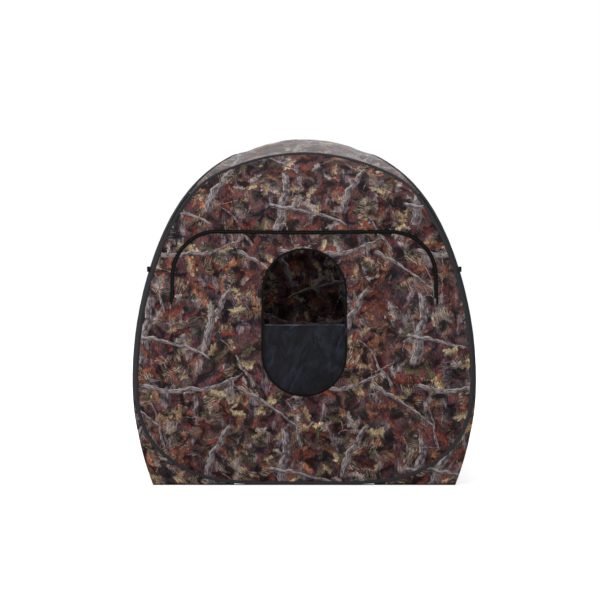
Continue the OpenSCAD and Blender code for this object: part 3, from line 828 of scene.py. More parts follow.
def woodland_group() -> bpy.types.NodeTree:
    """The woodland print: streaked litter, bark patches, needles, nets of leaves, branches and twigs."""
    tree, g, at, out = new_group("woodland_print", {"Vector": ("Vector", None)},
                                 {"Color": "Color", "Ink": "Float"})
    uv = at.outputs["Vector"]
    stir = g.noise(uv, 46.0, 4.0, 0.68)
    push = g.vector("SUBTRACT", stir.outputs["Color"], (0.5, 0.5, 0.5))
    ruffled = g.vector("ADD", uv, g.vector("SCALE", push, scale=0.019))
    grain = g.noise(g.vector("MULTIPLY", ruffled, (190.0, 52.0, 1.0)), 1.0, 3.0, 0.72).outputs[0]
    streak = g.ramp(grain, [(0.30, (0.28, 0.28, 0.30)), (0.52, (0.92, 0.92, 0.92)), (0.72, (1.9, 1.9, 1.85))])
    broad = g.noise(uv, 9.5, 4.0, 0.62, distortion=0.8).outputs[0]
    colour = g.ramp(broad, [(0.32, (0.014, 0.013, 0.016)), (0.42, (0.066, 0.040, 0.052)),
                            (0.52, (0.125, 0.040, 0.040)), (0.60, (0.090, 0.056, 0.062)),
                            (0.72, (0.032, 0.038, 0.031))])
    colour = g.blend(1.0, colour, streak, "MULTIPLY")
    trunk = g.noise(g.vector("MULTIPLY", ruffled, (15.0, 5.5, 1.0)), 1.0, 2.0, 0.5).outputs[0]
    ridge = g.noise(g.vector("MULTIPLY", ruffled, (120.0, 16.0, 1.0)), 1.0, 4.0, 0.7).outputs[0]
    bark = g.ramp(ridge, [(0.36, (0.035, 0.026, 0.030)), (0.50, (0.150, 0.118, 0.124)),
                          (0.68, (0.310, 0.262, 0.272))])
    colour = g.blend(g.span(trunk, 0.60, 0.64), colour, bark)
    cell = g.add("ShaderNodeTexVoronoi", voronoi_dimensions="2D", feature="F1")
    g.feed(cell.inputs["Vector"], ruffled)
    cell.inputs["Scale"].default_value = 15.0
    spin, share, tone = g.split(cell.outputs["Color"])
    blades = g.turned(uv, g.math("MULTIPLY", spin, 6.2832))
    blade = g.noise(g.vector("MULTIPLY", blades, (30.0, 210.0, 1.0)), 1.0, 2.0, 0.6).outputs[0]
    blade = g.math("MULTIPLY", g.span(blade, 0.50, 0.58), g.math("LESS_THAN", share, 0.55))
    needles = g.ramp(tone, [(0.0, (0.150, 0.120, 0.075)), (0.3, (0.340, 0.300, 0.185)),
                            (0.55, (0.105, 0.050, 0.034)), (0.78, (0.045, 0.052, 0.036)),
                            (1.0, (0.230, 0.200, 0.195))])
    colour = g.blend(blade, colour, needles)
    leaf = leaf_group()
    for net, size, teeth, chance, spread in ((9.0, 0.054, 0.18, 0.66, 1.0), (14.0, 0.034, 0.14, 0.60, 2.3)):
        patch = g.group(leaf, Vector=ruffled, Net=net, Size=size, Teeth=teeth, Chance=chance)
        cover = g.math("MULTIPLY", patch.outputs["Mask"], 0.9)
        colour = g.blend(cover, colour, toned(g, patch, spread, streak))
    murk = g.noise(g.vector("ADD", uv, (0.4, 0.9, 0.0)), 17.0, 3.0, 0.6, distortion=0.5).outputs[0]
    colour = g.blend(1.0, colour, g.ramp(murk, [(0.36, (0.13, 0.10, 0.14)), (0.50, (0.85, 0.82, 0.84)),
                                                 (0.66, (1.55, 1.40, 1.38))]), "MULTIPLY")
    stroke = branch_group()
    grown = g.vector("ADD", uv, g.vector("SCALE", push, scale=0.006))
    for b in BRANCHES:
        part = g.group(stroke, Vector=grown, Middle=(b.x, b.y, 0.0), Angle=math.radians(b.angle),
                       Length=b.length, Width=b.width, Bend=b.bend, Taper=b.taper)
        wood = g.ramp(part.outputs["Bark"], [(0.10, (0.026, 0.018, 0.023)), (0.34, (0.150, 0.118, 0.122)),
                                             (0.60, (0.300, 0.255, 0.262)), (0.9, (0.500, 0.455, 0.445))])
        colour = g.blend(part.outputs["Mask"], colour, wood)
    patch = g.group(leaf, Vector=g.vector("ADD", ruffled, (0.31, 0.17, 0.0)), Net=10.0, Size=0.036, Teeth=0.2,
                    Chance=0.30)
    colour = g.blend(g.math("MULTIPLY", patch.outputs["Mask"], 0.9), colour, toned(g, patch, 3.1, streak))
    crack = g.add("ShaderNodeTexVoronoi", voronoi_dimensions="2D", feature="DISTANCE_TO_EDGE")
    g.feed(crack.inputs["Vector"], g.vector("ADD", uv, g.vector("SCALE", push, scale=0.03)))
    crack.inputs["Scale"].default_value = 6.5
    twig = g.span(crack.outputs["Distance"], 0.002, 0.008, 1.0, 0.0)
    some = g.span(g.noise(uv, 7.0, 1.0).outputs[0], 0.59, 0.63)
    colour = g.blend(g.math("MULTIPLY", twig, some), colour, (0.44, 0.40, 0.37, 1.0))
    g.feed(out.inputs["Color"], colour)
    g.feed(out.inputs["Ink"], grain)
    return tree


def weave_group() -> bpy.types.NodeTree:
    """Height of a plain weave: crossed sine rows, thread to thread unevenness and a fine crinkle."""
    tree, g, at, out = new_group(
        "plain_weave",
        {"Vector": ("Vector", None), "Thread": ("Float", 0.0006), "Crinkle": ("Float", 1.0)},
        {"Height": "Float"})
    x, y, _ = g.split(at.outputs["Vector"])
    turns = g.math("DIVIDE", 3.1416, at.outputs["Thread"])
    warp = g.math("SINE", g.math("MULTIPLY", x, turns))
    weft = g.math("SINE", g.math("MULTIPLY", y, turns))
    cloth = g.math("MULTIPLY", g.math("MULTIPLY", warp, weft), 0.10)
    folds = g.noise(at.outputs["Vector"], 26.0, 5.0, 0.62, distortion=0.6).outputs[0]
    folds = g.math("MULTIPLY", folds, at.outputs["Crinkle"])
    g.feed(out.inputs["Height"], g.math("ADD", cloth, folds))
    return tree


def ribbing_group() -> bpy.types.NodeTree:
    """Height of a ribbed tape: rows along it with a faint twill across them."""
    tree, g, at, out = new_group("ribbed_tape", {"Vector": ("Vector", None), "Rib": ("Float", 0.0016)},
                                 {"Height": "Float", "Fuzz": "Float"})
    x, y, _ = g.split(at.outputs["Vector"])
    rows = g.math("SINE", g.math("DIVIDE", g.math("MULTIPLY", x, 6.2832), at.outputs["Rib"]))
    cross = g.math("SINE", g.math("DIVIDE", g.math("MULTIPLY", g.math("ADD", x, y), 6.2832), 0.0011))
    g.feed(out.inputs["Height"], g.math("ADD", g.math("MULTIPLY", rows, 0.6), g.math("MULTIPLY", cross, 0.4)))
    g.feed(out.inputs["Fuzz"], g.noise(at.outputs["Vector"], 420.0, 3.0, 0.7).outputs[0])
    return tree


GROUPS: dict[str, bpy.types.NodeTree] = {}


def shared(name: str, maker: Callable[[], bpy.types.NodeTree]) -> bpy.types.NodeTree:
    """The node group of that name, made on first use."""
    if name not in GROUPS:
        GROUPS[name] = maker()
    return GROUPS[name]


@dataclass(frozen=True)
class Finish:
    """A surface finish; each subclass says how its nodes are wired."""

    name: str
    roughness: float = 0.8
    sheen: float = 0.0
    metallic: float = 0.0
    specular: float = 0.5

    def wire(self, g: Graph, shader: bpy.types.Node) -> None:
        """Adds the finish's own nodes and feeds the shader."""
        raise NotImplementedError

    def material(self) -> bpy.types.Material:
        """The finish as a material, made on first use."""
        found = bpy.data.materials.get(self.name)
        if found is not None:
            return found
        mat = bpy.data.materials.new(self.name)
        mat.use_nodes = True
        mat.node_tree.nodes.clear()
        g = Graph(mat.node_tree)
        shader = g.add("ShaderNodeBsdfPrincipled")
        result = g.add("ShaderNodeOutputMaterial")
        g.feed(result.inputs["Surface"], shader.outputs[0])
        shader.inputs["Roughness"].default_value = self.roughness
        shader.inputs["Metallic"].default_value = self.metallic
        shader.inputs["Specular IOR Level"].default_value = self.specular
        shader.inputs["Sheen Weight"].default_value = self.sheen
        shader.inputs["Sheen Roughness"].default_value = 0.45
        self.wire(g, shader)
        return mat

    def two_tone(self, g: Graph, shader: bpy.types.Node, value: object, low: float, high: float,
                 first: Colour, last: Colour) -> None:
        """Base colour that goes from first to last as value goes from low to high."""
        colour = g.blend(g.span(value, low, high), (*first, 1.0), (*last, 1.0))
        g.feed(shader.inputs["Base Color"], colour)

    def polish(self, g: Graph, shader: bpy.types.Node, value: object, low: float, high: float,
               less: float, more: float) -> None:
        """Roughness from less below the finish's own to more above it as value goes from low to high."""
        rough = g.span(value, low, high, self.roughness - less, self.roughness + more)
        g.feed(shader.inputs["Roughness"], rough)

    def bump(self, g: Graph, shader: bpy.types.Node, height: object, distance: float,
             strength: float = 1.0) -> None:
        """Feeds the shader's normal from a height in units of distance."""
        node = g.add("ShaderNodeBump")
        node.inputs["Strength"].default_value = strength
        node.inputs["Distance"].default_value = distance
        g.feed(node.inputs["Height"], height)
        g.feed(shader.inputs["Normal"], node.outputs[0])


@dataclass(frozen=True)
class PrintedCloth(Finish):
    """Woven polyester with the woodland print; the reverse is coated and shows it dimly.

    Its last field sets how far the print is blended towards grey: painted sheen, standing for light glancing
    off the cloth.
    """

    dim: Colour = (1.0, 1.0, 1.0)
    painted_sheen: float = 0.0

    def wire(self, g: Graph, shader: bpy.types.Node) -> None:
        """Print to the colour under a mottled grey of dust and painted sheen, weave and crinkle to the
        normal.
        """
        uv = g.add("ShaderNodeUVMap", uv_map="cloth").outputs[0]
        ink = g.group(shared("print", woodland_group), Vector=uv)
        # Mottled grey over the print: a faint dust on all cloth, plus painted sheen on the roof standing for
        # light glancing off it.
        dust_sheen_mottle = g.noise(uv, 5.0, 4.0, 0.6).outputs[0]
        dust_and_sheen_mix = g.span(dust_sheen_mottle, 0.40, 0.75, self.painted_sheen * 0.8, self.painted_sheen * 1.2 + 0.03)
        colour = g.blend(dust_and_sheen_mix, ink.outputs["Color"], (0.40, 0.385, 0.395, 1.0))
        dimmed = g.blend(1.0, colour, (*self.dim, 1.0), "MULTIPLY")
        g.feed(shader.inputs["Base Color"], dimmed)
        self.polish(g, shader, ink.outputs["Ink"], 0.3, 0.7, 0.1, 0.0)
        cloth = g.group(shared("weave", weave_group), Vector=uv, Thread=0.0007, Crinkle=1.0)
        self.bump(g, shader, cloth.outputs["Height"], 0.006, 0.55)


@dataclass(frozen=True)
class Tape(Finish):
    """Black woven tape or webbing with ribs along it and greyer fibres from wear."""

    colour: Colour = (0.010, 0.010, 0.011)
    rib: float = 0.0016

    def wire(self, g: Graph, shader: bpy.types.Node) -> None:
        """Ribs to the normal, fuzz to the colour."""
        uv = g.add("ShaderNodeUVMap", uv_map="cloth").outputs[0]
        tape = g.group(shared("ribs", ribbing_group), Vector=uv, Rib=self.rib)
        pale = tuple(2.6 * c + 0.002 for c in self.colour)
        self.two_tone(g, shader, tape.outputs["Fuzz"], 0.45, 0.8, self.colour, pale)
        self.bump(g, shader, tape.outputs["Height"], 0.0004, 0.7)


@dataclass(frozen=True)
class CoatedCloth(Finish):
    """Black coated cover cloth: fine weave under a thin skin, creased, a little blue."""

    colour: Colour = (0.0050, 0.0056, 0.0125)

    def wire(self, g: Graph, shader: bpy.types.Node) -> None:
        """Creases to the normal; slanted streaks to the roughness and to a paler colour, which is painted
        crease highlight together with rubbed coating.
        """
        uv = g.add("ShaderNodeUVMap", uv_map="cloth").outputs[0]
        slant = g.vector("MULTIPLY", g.turned(uv, 0.5), (26.0, 8.0, 1.0))
        # Pale slanted streaks lying like the creases: painted highlight on the crease ridges, together with
        # rubbed coating.
        crease_highlight_and_rub = g.noise(slant, 1.0, 5.0, 0.62, distortion=0.8).outputs[0]
        pale = tuple(3.6 * c + 0.004 for c in self.colour)
        self.two_tone(g, shader, crease_highlight_and_rub, 0.48, 0.72, self.colour, pale)
        self.polish(g, shader, crease_highlight_and_rub, 0.3, 0.8, 0.08, 0.12)
        cloth = g.group(shared("weave", weave_group), Vector=uv, Thread=0.0005, Crinkle=1.4)
        self.bump(g, shader, cloth.outputs["Height"], 0.012, 0.9)


@dataclass(frozen=True)
class Metal(Finish):
    """Drawn, plated or enamelled metal with fine scratches and dulled patches."""

    colour: Colour = (0.4, 0.4, 0.42)
    stretch: Colour = (1.0, 1.0, 1.0)

    def wire(self, g: Graph, shader: bpy.types.Node) -> None:
        """Scratches to the normal and the roughness, tarnish to the colour."""
        place = g.add("ShaderNodeTexCoord").outputs["Object"]
        scratch = g.noise(g.vector("MULTIPLY", place, self.stretch), 900.0, 4.0, 0.7, flat=False).outputs[0]
        patch = g.noise(place, 60.0, 3.0, 0.6, flat=False).outputs[0]
        dull = tuple(0.55 * c for c in self.colour)
        self.two_tone(g, shader, patch, 0.4, 0.7, self.colour, dull)
        self.polish(g, shader, scratch, 0.3, 0.7, 0.08, 0.15)
        self.bump(g, shader, scratch, 0.0001, 0.5)


@dataclass(frozen=True)
class Floor(Finish):
    """Pale matt studio floor."""

    def wire(self, g: Graph, shader: bpy.types.Node) -> None:
        """A faint mottle."""
        place = g.add("ShaderNodeTexCoord").outputs["Object"]
        mottle = g.noise(place, 3.0, 3.0, 0.5, flat=False).outputs[0]
        self.two_tone(g, shader, mottle, 0.3, 0.7, (0.80, 0.80, 0.80), (0.82, 0.82, 0.82))
        seen = g.add("ShaderNodeLightPath").outputs["Is Camera Ray"]
        shader.inputs["Emission Color"].default_value = (1.0, 1.0, 1.0, 1.0)
        g.feed(shader.inputs["Emission Strength"], g.math("MULTIPLY", seen, 0.62))


CLOTH = PrintedCloth("woodland_cloth", roughness=0.8, sheen=0.02, specular=0.15)
# The roof's print is blended a fifth to a third of the way to grey: painted sheen standing for light glancing
# off its top.
ROOF_CLOTH = PrintedCloth("woodland_cloth_roof", roughness=0.6, sheen=0.08, specular=0.3, painted_sheen=0.26)
CLOTH_REVERSE = PrintedCloth("woodland_cloth_reverse", roughness=0.7, specular=0.2, dim=(0.44, 0.60, 0.62))
BINDING = Tape("black_binding", roughness=0.8, specular=0.06, colour=(0.003, 0.003, 0.0034))
ZIP_TAPE = Tape("zip_tape_black", colour=(0.003, 0.003, 0.0033), rib=0.0012, specular=0.05)
THREAD = Tape("sewing_thread", colour=(0.012, 0.012, 0.013), rib=0.0005, specular=0.2)
WEBBING = Tape("webbing_black", colour=(0.008, 0.008, 0.009), rib=0.0022, specular=0.2)
COVER = CoatedCloth("coated_cover_cloth", roughness=0.36, specular=0.5)
COVER_HEM = CoatedCloth("cover_hem", roughness=0.6, colour=(0.05, 0.05, 0.058), specular=0.25)
TEETH = Metal("zip_coil", roughness=0.55, colour=(0.006, 0.006, 0.007), specular=0.2)
ENAMEL = Metal("zip_enamel", roughness=0.32, colour=(0.022, 0.022, 0.024), metallic=0.4)
WIRE = Metal("blued_wire", roughness=0.38, colour=(0.16, 0.17, 0.20), metallic=1.0)
PLATED = Metal("plated_ferrule", roughness=0.3, colour=(0.62, 0.62, 0.64), metallic=1.0)
BRASS = Metal("rolled_brass", roughness=0.28, colour=(0.72, 0.52, 0.22), metallic=1.0)
FLOOR = Floor("studio_floor", roughness=0.9, specular=0.1)


def dress(obj: bpy.types.Object, *finishes: Finish) -> bpy.types.Object:
    """Gives an object its finishes, one a material slot."""
    obj.data.materials.clear()
    for finish in finishes:
        obj.data.materials.append(finish.material())
    return obj


def settle(obj: bpy.types.Object, body: str, replaces: Sequence[str] = ()) -> bpy.types.Object:
    """Fixes a piece to a body and hides the nodes it stands for."""
    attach(obj, body)
    if replaces:
        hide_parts(*replaces)
    LOG.info("%s on %s: %d faces", obj.name, body, len(obj.data.polygons))
    return obj


# ---- sub-assemblies --------------------------------------------------------------------


@dataclass
class ClothPanel:
    """One flat cut piece of printed cloth on a wall."""

    name: str
    shape: WallShape
    outer: Array
    body: str
    node: str
    flat: tuple[float, float]
    holes: Sequence[Array] = field(default_factory=list)

    def build(self) -> bpy.types.Object:
        """Cuts the cloth, lifts it onto the wall and gives it its print."""
        p, quads = trimmed_grid(self.outer, self.holes, SHEET_STEP)
        outside = self.shape.place(p)
        normals = self.shape.frame_at(p)[2]
        obj = thick_sheet(self.name, outside, normals, quads, self.shape.uv(p))
        dress(obj, CLOTH, CLOTH_REVERSE)
        settle(obj, self.body, [self.node])
        return obj


def hoop_path(shape: WallShape, step: float) -> tuple[Array, Array, Array]:
    """The hoop's line on its wall, with unit vectors out of the loop and out of the wall."""
    chart = resampled(DOME.hoop(), step, closed=True)
    line = shape.place(chart, relief=False)
    tangent = unit(np.roll(line, -1, axis=0) - np.roll(line, 1, axis=0))
    normal = shape.frame_at(chart)[2]
    outward = unit(np.cross(tangent, normal))
    return line, outward, unit(np.cross(outward, tangent))


@dataclass
class EdgeBinding:
    """Black tape folded round one hoop and sewn to the edge of its wall."""

    shape: WallShape
    node: str
    radius: float = BINDING_R
    step: float = 0.0075
    stitch_in: float = 0.0092

    def build(self) -> bpy.types.Object:
        """A flattened ring round the wire, with a lip that grips the cloth's edge on both faces."""
        line, outward, out = hoop_path(self.shape, self.step)
        line = line - out * 0.0015
        run = np.arange(len(line)) * self.step
        ease = 1.0 + 0.05 * noise(np.stack([run, np.zeros(len(line))], axis=1), 0.03, 5)
        ring = circle(np.linspace(-140, 140, 9)) * self.radius
        lip = np.array([[-0.0115, 0.0021], [-0.0118, 0.0], [-0.0115, -0.0026]])
        section = np.vstack([ring, lip])
        points, quads, uv = swept(line, outward * ease[:, None], out * ease[:, None], section, closed=True)
        obj = make_mesh(self.node + "_tape", points, [quads], uv)
        dress(obj, BINDING)
        settle(obj, "shell", [self.node])
        length = float(np.linalg.norm(np.diff(line, axis=0), axis=1).sum())
        self.stitches(line, outward, out)
        LOG.info("binding length %.2f m", length)
        return obj

    def stitches(self, line: Array, outward: Array, out: Array) -> bpy.types.Object:
        """A row of stitches along the lip."""
        template, faces = pill(0.0042, 0.0011, 0.0009)
        tangent = np.cross(out, outward)
        origin = line - outward * self.stitch_in + out * 0.0024
        points, quads = scattered(template, faces, origin, np.stack([tangent, outward, out], axis=1))
        uv = points[:, :2]
        obj = make_mesh(self.node + "_stitches", points, [quads], uv, smooth=False)
        dress(obj, THREAD)
        return settle(obj, "shell")


class Parts:
    """Gathers the points, faces and UVs of several small shapes into one mesh."""

    def __init__(self) -> None:
        """Starts empty."""
        self.points: list[Array] = []
        self.faces: list[Array] = []
        self.uv: list[Array] = []
        self.count = 0

    def add(self, points: Array, faces: Sequence[Array], uv: Optional[Array] = None) -> None:
        """Adds a shape; without UVs its x and y are used."""
        self.faces += [np.asarray(f) + self.count for f in faces]
        self.points.append(points)
        self.uv.append(points[:, :2] if uv is None else uv)
        self.count += len(points)

    def make(self, name: str, smooth: bool = True) -> bpy.types.Object:
        """The one object."""
        return make_mesh(name, np.vstack(self.points), self.faces, np.vstack(self.uv), smooth)

    def band(self, path: Array, across: Array, width: float, thickness: float, closed: bool = False) -> None:
        """A flat band with eased edges, carried along a path: its section is an eight-sided strip."""
        nxt = np.roll(path, -1, axis=0) if closed else np.vstack([path[1:], 2 * path[-1:] - path[-2:-1]])
        prv = np.roll(path, 1, axis=0) if closed else np.vstack([2 * path[:1] - path[1:2], path[:-1]])
        way = unit(nxt - prv)
        across = unit(across - way * (across * way).sum(-1, keepdims=True))
        w, t = width / 2, thickness / 2
        e = min(w * 0.3, thickness)
        section = np.array([[-w, -t * 0.4], [e - w, -t], [w - e, -t], [w, -t * 0.4],
                            [w, t * 0.4], [w - e, t], [e - w, t], [-w, t * 0.4]])
        points, quads, uv = swept(path, across, np.cross(across, way), section, closed)
        caps = [] if closed else end_caps(len(path), len(section), quads)
        self.add(points, [quads, *caps], uv)

    def stitches(self, line: Array, out: Array, spacing: float = 0.0052, closed: bool = False) -> None:
        """A row of short thread loaves along a line, lying on a surface that faces out."""
        both = resampled(np.hstack([line, out]), spacing, closed)
        place, up = both[:, :3], unit(both[:, 3:])
        way = unit(np.gradient(place, axis=0))
        up = unit(up - way * (up * way).sum(-1, keepdims=True))
        template, faces = pill(spacing * 0.78, 0.0011, 0.0010)
        points, quads = scattered(template, faces, place, np.stack([way, np.cross(up, way), up], axis=1))
        self.add(points, [quads])


@dataclass
class Zip:
    """Tape and half of the coil on one side of a chart line, with the row of stitches that holds it.

    Beside a line that runs clockwise the right side is the inner one.
    """

    name: str
    shape: WallShape
    line: Array
    body: str
    node: str
    right: bool
    closed: bool = False
    width: float = TAPE_W
    thickness: float = 0.0024
    pitch: float = 0.0026

    def sides(self, chart: Array) -> Array:
        """Unit chart vectors from the line towards the tape."""
        if self.closed:
            way = unit(np.roll(chart, -1, axis=0) - np.roll(chart, 1, axis=0))
        else:
            way = unit(np.gradient(chart, axis=0))
        return np.stack([way[:, 1], -way[:, 0]], axis=1) * (1 if self.right else -1)

    def lifted(self, chart: Array, side: Array, shift: float, proud: float) -> tuple[Array, Array, Array]:
        """Places shift metres from the line towards the tape, with the vectors across the tape and out."""
        mid = chart + side * shift
        across3, up3, out = self.shape.frame_at(mid)
        return self.shape.place(mid, proud), unit(side[:, :1] * across3 + side[:, 1:] * up3), out

    def build(self) -> bpy.types.Object:
        """The tape as a thin band on the wall, then its coil and its stitches."""
        chart = resampled(self.line, 0.006, self.closed)
        side = self.sides(chart)
        line, across, out = self.lifted(chart, side, self.width / 2, 0.0)
        tape = Parts()
        tape.band(line, across, self.width, self.thickness, self.closed)
        obj = dress(tape.make(self.name), ZIP_TAPE)
        settle(obj, self.body, [self.node])
        fine = Parts()
        place, _, out = self.lifted(chart, side, self.width * 0.72, 0.0014)
        fine.stitches(place, out, closed=self.closed)
        sewn = dress(fine.make(self.name + "_stitches", smooth=False), THREAD)
        settle(sewn, self.body)
        self.build_coil()
        return obj

    def build_coil(self) -> bpy.types.Object:
        """Half of the coil: a small loaf every pitch, reaching across the line from its tape."""
        line = resampled(self.line, self.pitch, self.closed)
        origin, across, out = self.lifted(line, self.sides(line), 0.0012, 0.0015)
        template, faces = pill(0.0044, 0.0017, 0.0018)
        axes = np.stack([across, np.cross(out, across), out], axis=1)
        points, quads = scattered(template, faces, origin, axes)
        teeth = Parts()
        teeth.add(points, [quads])
        return settle(dress(teeth.make(self.name + "_coil", smooth=False), TEETH), self.body)


@dataclass
class WindowCover:
    """One half of a window's black cover: coated cloth behind the wall, with a rolled hem at its fold.

    The cover's creases are slanting ridged noise that only goes inwards and fades towards its edge.
    ease is how slack it hangs; a taut one also lies flatter than the wall.
    """

    name: str
    shape: WallShape
    window: Window
    body: str
    node: str
    upper: bool
    open_deg: float = 0.0
    lap: float = 0.008
    behind: float = 0.0042
    pivot_in: float = 0.0051
    ease: float = 1.0

    def depth(self, p: Array) -> Array:
        """Distance behind the wall's outer face at chart points."""
        edge = -nearest(p, self.window.outline(self.lap)).distance
        hemmed = np.abs(p[:, 1] - self.window.fold)
        loose = smoothstep(0.004, 0.06, np.minimum(edge, hemmed * 0.40 + 0.014))
        slant = p @ np.array([[0.80, 0.60], [-0.60, 0.80]]).T
        bend = slant + 0.03 * noise(p, 0.15, self.shape.relief.seed + 70)[:, None]
        fold = 0.5 + 0.5 * ridged(bend * [1.0, 0.28], 0.048, self.shape.relief.seed + 71)
        small = 0.5 + 0.5 * ridged(p * [1.0, 0.6], 0.035, self.shape.relief.seed + 72)
        slack = 0.5 + 0.5 * noise(p, 0.20, self.shape.relief.seed + 73)
        return self.behind + self.ease * loose * (0.0095 * fold + 0.0050 * small + 0.006 * slack)

    def turned(self, v: Array, about: float) -> Array:
        """Points or vectors turned inwards about the fold, in the front frame."""
        a = math.radians(-self.open_deg)
        y0 = about * (self.pivot_in - float(DOME.half_width(self.window.fold)))
        y, z = v[:, 1] - y0, v[:, 2] - about * self.window.fold
        return np.stack([v[:, 0], y0 + y * math.cos(a) - z * math.sin(a),
                         about * self.window.fold + y * math.sin(a) + z * math.cos(a)], axis=1)

    def lifted(self, p: Array, proud: float = 0.0) -> tuple[Array, Array]:
        """Places and outward vectors on the cover, folded open where it is."""
        front = WallShape(Side.FRONT, self.shape.relief)
        inside = -nearest(p, self.window.outline(self.lap)).distance
        calm = 1.0 - (1.0 - self.ease) * smoothstep(0.01, 0.07, inside)
        lift = self.shape.relief.depth(p) * calm - self.depth(p) + proud
        place, out = front.place(p, lift, relief=False), front.frame_at(p)[2]
        place, out = self.turned(place, 1.0), self.turned(out, 0.0)
        return turn_about_z(place, self.shape.side), turn_about_z(out, self.shape.side)

    def build(self) -> bpy.types.Object:
        """Cuts the half cover, lifts it behind the wall and hems it."""
        seam = self.window.fold + (0.0005 if self.upper else -0.0005)
        edge = self.window.outline(self.lap)
        near = edge[:, 1] >= seam if self.upper else edge[:, 1] <= seam
        cut = self.window.r + self.lap
        ends = np.array([[-cut, seam], [cut, seam]] if self.upper else [[cut, seam], [-cut, seam]])
        kept = edge[near]
        outer = np.vstack([kept, ends]) if self.upper else np.vstack([ends[1:], kept, ends[:1]])
        p, quads = trimmed_grid(outer, [], 0.0055)
        place, out = self.lifted(p)
        obj = thick_sheet(self.name, place, out, quads, p, 0.0008)
        dress(obj, COVER, COVER)
        settle(obj, self.body, [self.node])
        hem = self.hem()
        return obj

    def hem(self) -> bpy.types.Object:
        """The rolled hem along the fold, with its thread."""
        x = np.linspace(-self.window.r, self.window.r, 70)
        z = self.window.fold + (0.004 if self.upper else -0.004)
        place, out = self.lifted(np.stack([x, np.full(70, z)], axis=1), 0.0006)
        roll = Parts()
        up = np.gradient(place, axis=0)
        roll.band(place, np.cross(out, unit(up)), 0.0062, 0.0026)
        obj = dress(roll.make(self.name + "_hem"), COVER_HEM)
        return settle(obj, self.body)


@dataclass
class Roof:
    """The roof membrane between the four top arches.

    Height = top - fall r^2 / (1 + flatten r^2) + (what the arch lacks) t^4, where t is the way out to the
    rim. Soft gathers run in from the arches, and broad billows cross the middle.
    """

    tuck: float = 0.0064
    rise: float = 0.0026
    tip_gap: float = 0.0135
    fall: float = 0.911
    flatten: float = 1.95
    seed: int = 91

    def rim(self) -> Array:
        """The rim seen from above, anticlockwise, with its height as the third column."""
        line = resampled(DOME.hoop(), 0.007, closed=True)
        near_tip = DOME.half_width(line[:, 1]) - np.abs(line[:, 0])
        top = line[(line[:, 1] > DOME.split_z - 0.06) & (near_tip > self.tip_gap)]
        top = top[np.argsort(top[:, 0])]
        arch = np.stack([top[:, 0], self.tuck - DOME.half_width(top[:, 1]), top[:, 1] + self.rise], axis=1)
        return np.vstack([turn_about_z(arch, side) for side in range(4)])

    def height(self, p: Array, rim: Array) -> Array:
        """Height at plan points."""
        turn = np.arctan2(rim[:, 1], rim[:, 0])
        order = np.argsort(turn)
        angle = np.arctan2(p[:, 1], p[:, 0])
        far = np.interp(angle, turn[order], np.hypot(rim[:, 0], rim[:, 1])[order], period=2 * math.pi)
        edge = np.interp(angle, turn[order], rim[order, 2], period=2 * math.pi)
        r = np.hypot(p[:, 0], p[:, 1])
        t = np.minimum(r / far, 1.0)
        lack = edge - DOME.roof_z + self.drop(far)
        return DOME.roof_z - self.drop(r) + lack * t**4

    def drop(self, r: Array) -> Array:
        """How far the crown has fallen at radius r."""
        return self.fall * r * r / (1.0 + self.flatten * r * r)

    def build(self) -> bpy.types.Object:
        """Cuts the cloth in plan and lifts it."""
        rim = self.rim()
        p, quads = trimmed_grid(rim[:, :2], [], 0.0090)
        z = self.height(p, rim)
        e = 1e-4
        dx = (self.height(p + [e, 0], rim) - z) / e
        dy = (self.height(p + [0, e], rim) - z) / e
        normal = unit(np.stack([-dx, -dy, np.ones(len(p))], axis=1))
        near = nearest(p, rim[:, :2])
        inside = np.maximum(-near.distance, 0.0)
        free = smoothstep(0.0, 0.07, inside)
        lift = -0.006 * free + 0.006 * noise(p, 0.33, self.seed) * free
        comb = noise(np.stack([near.along, inside * 0.25], axis=1), 0.026, self.seed + 1)
        lift += 0.0042 * comb * np.exp(-inside / 0.10) * smoothstep(0.0, 0.02, inside)
        lift += 0.0022 * ridged(p, 0.075, self.seed + 2) * free
        place = np.column_stack([p, z]) + normal * lift[:, None]
        obj = thick_sheet("roof_cloth", place, normal, quads, p + [0.23, 0.41])
        dress(obj, ROOF_CLOTH, CLOTH_REVERSE)
        settle(obj, "shell", ["roof"])
        return obj


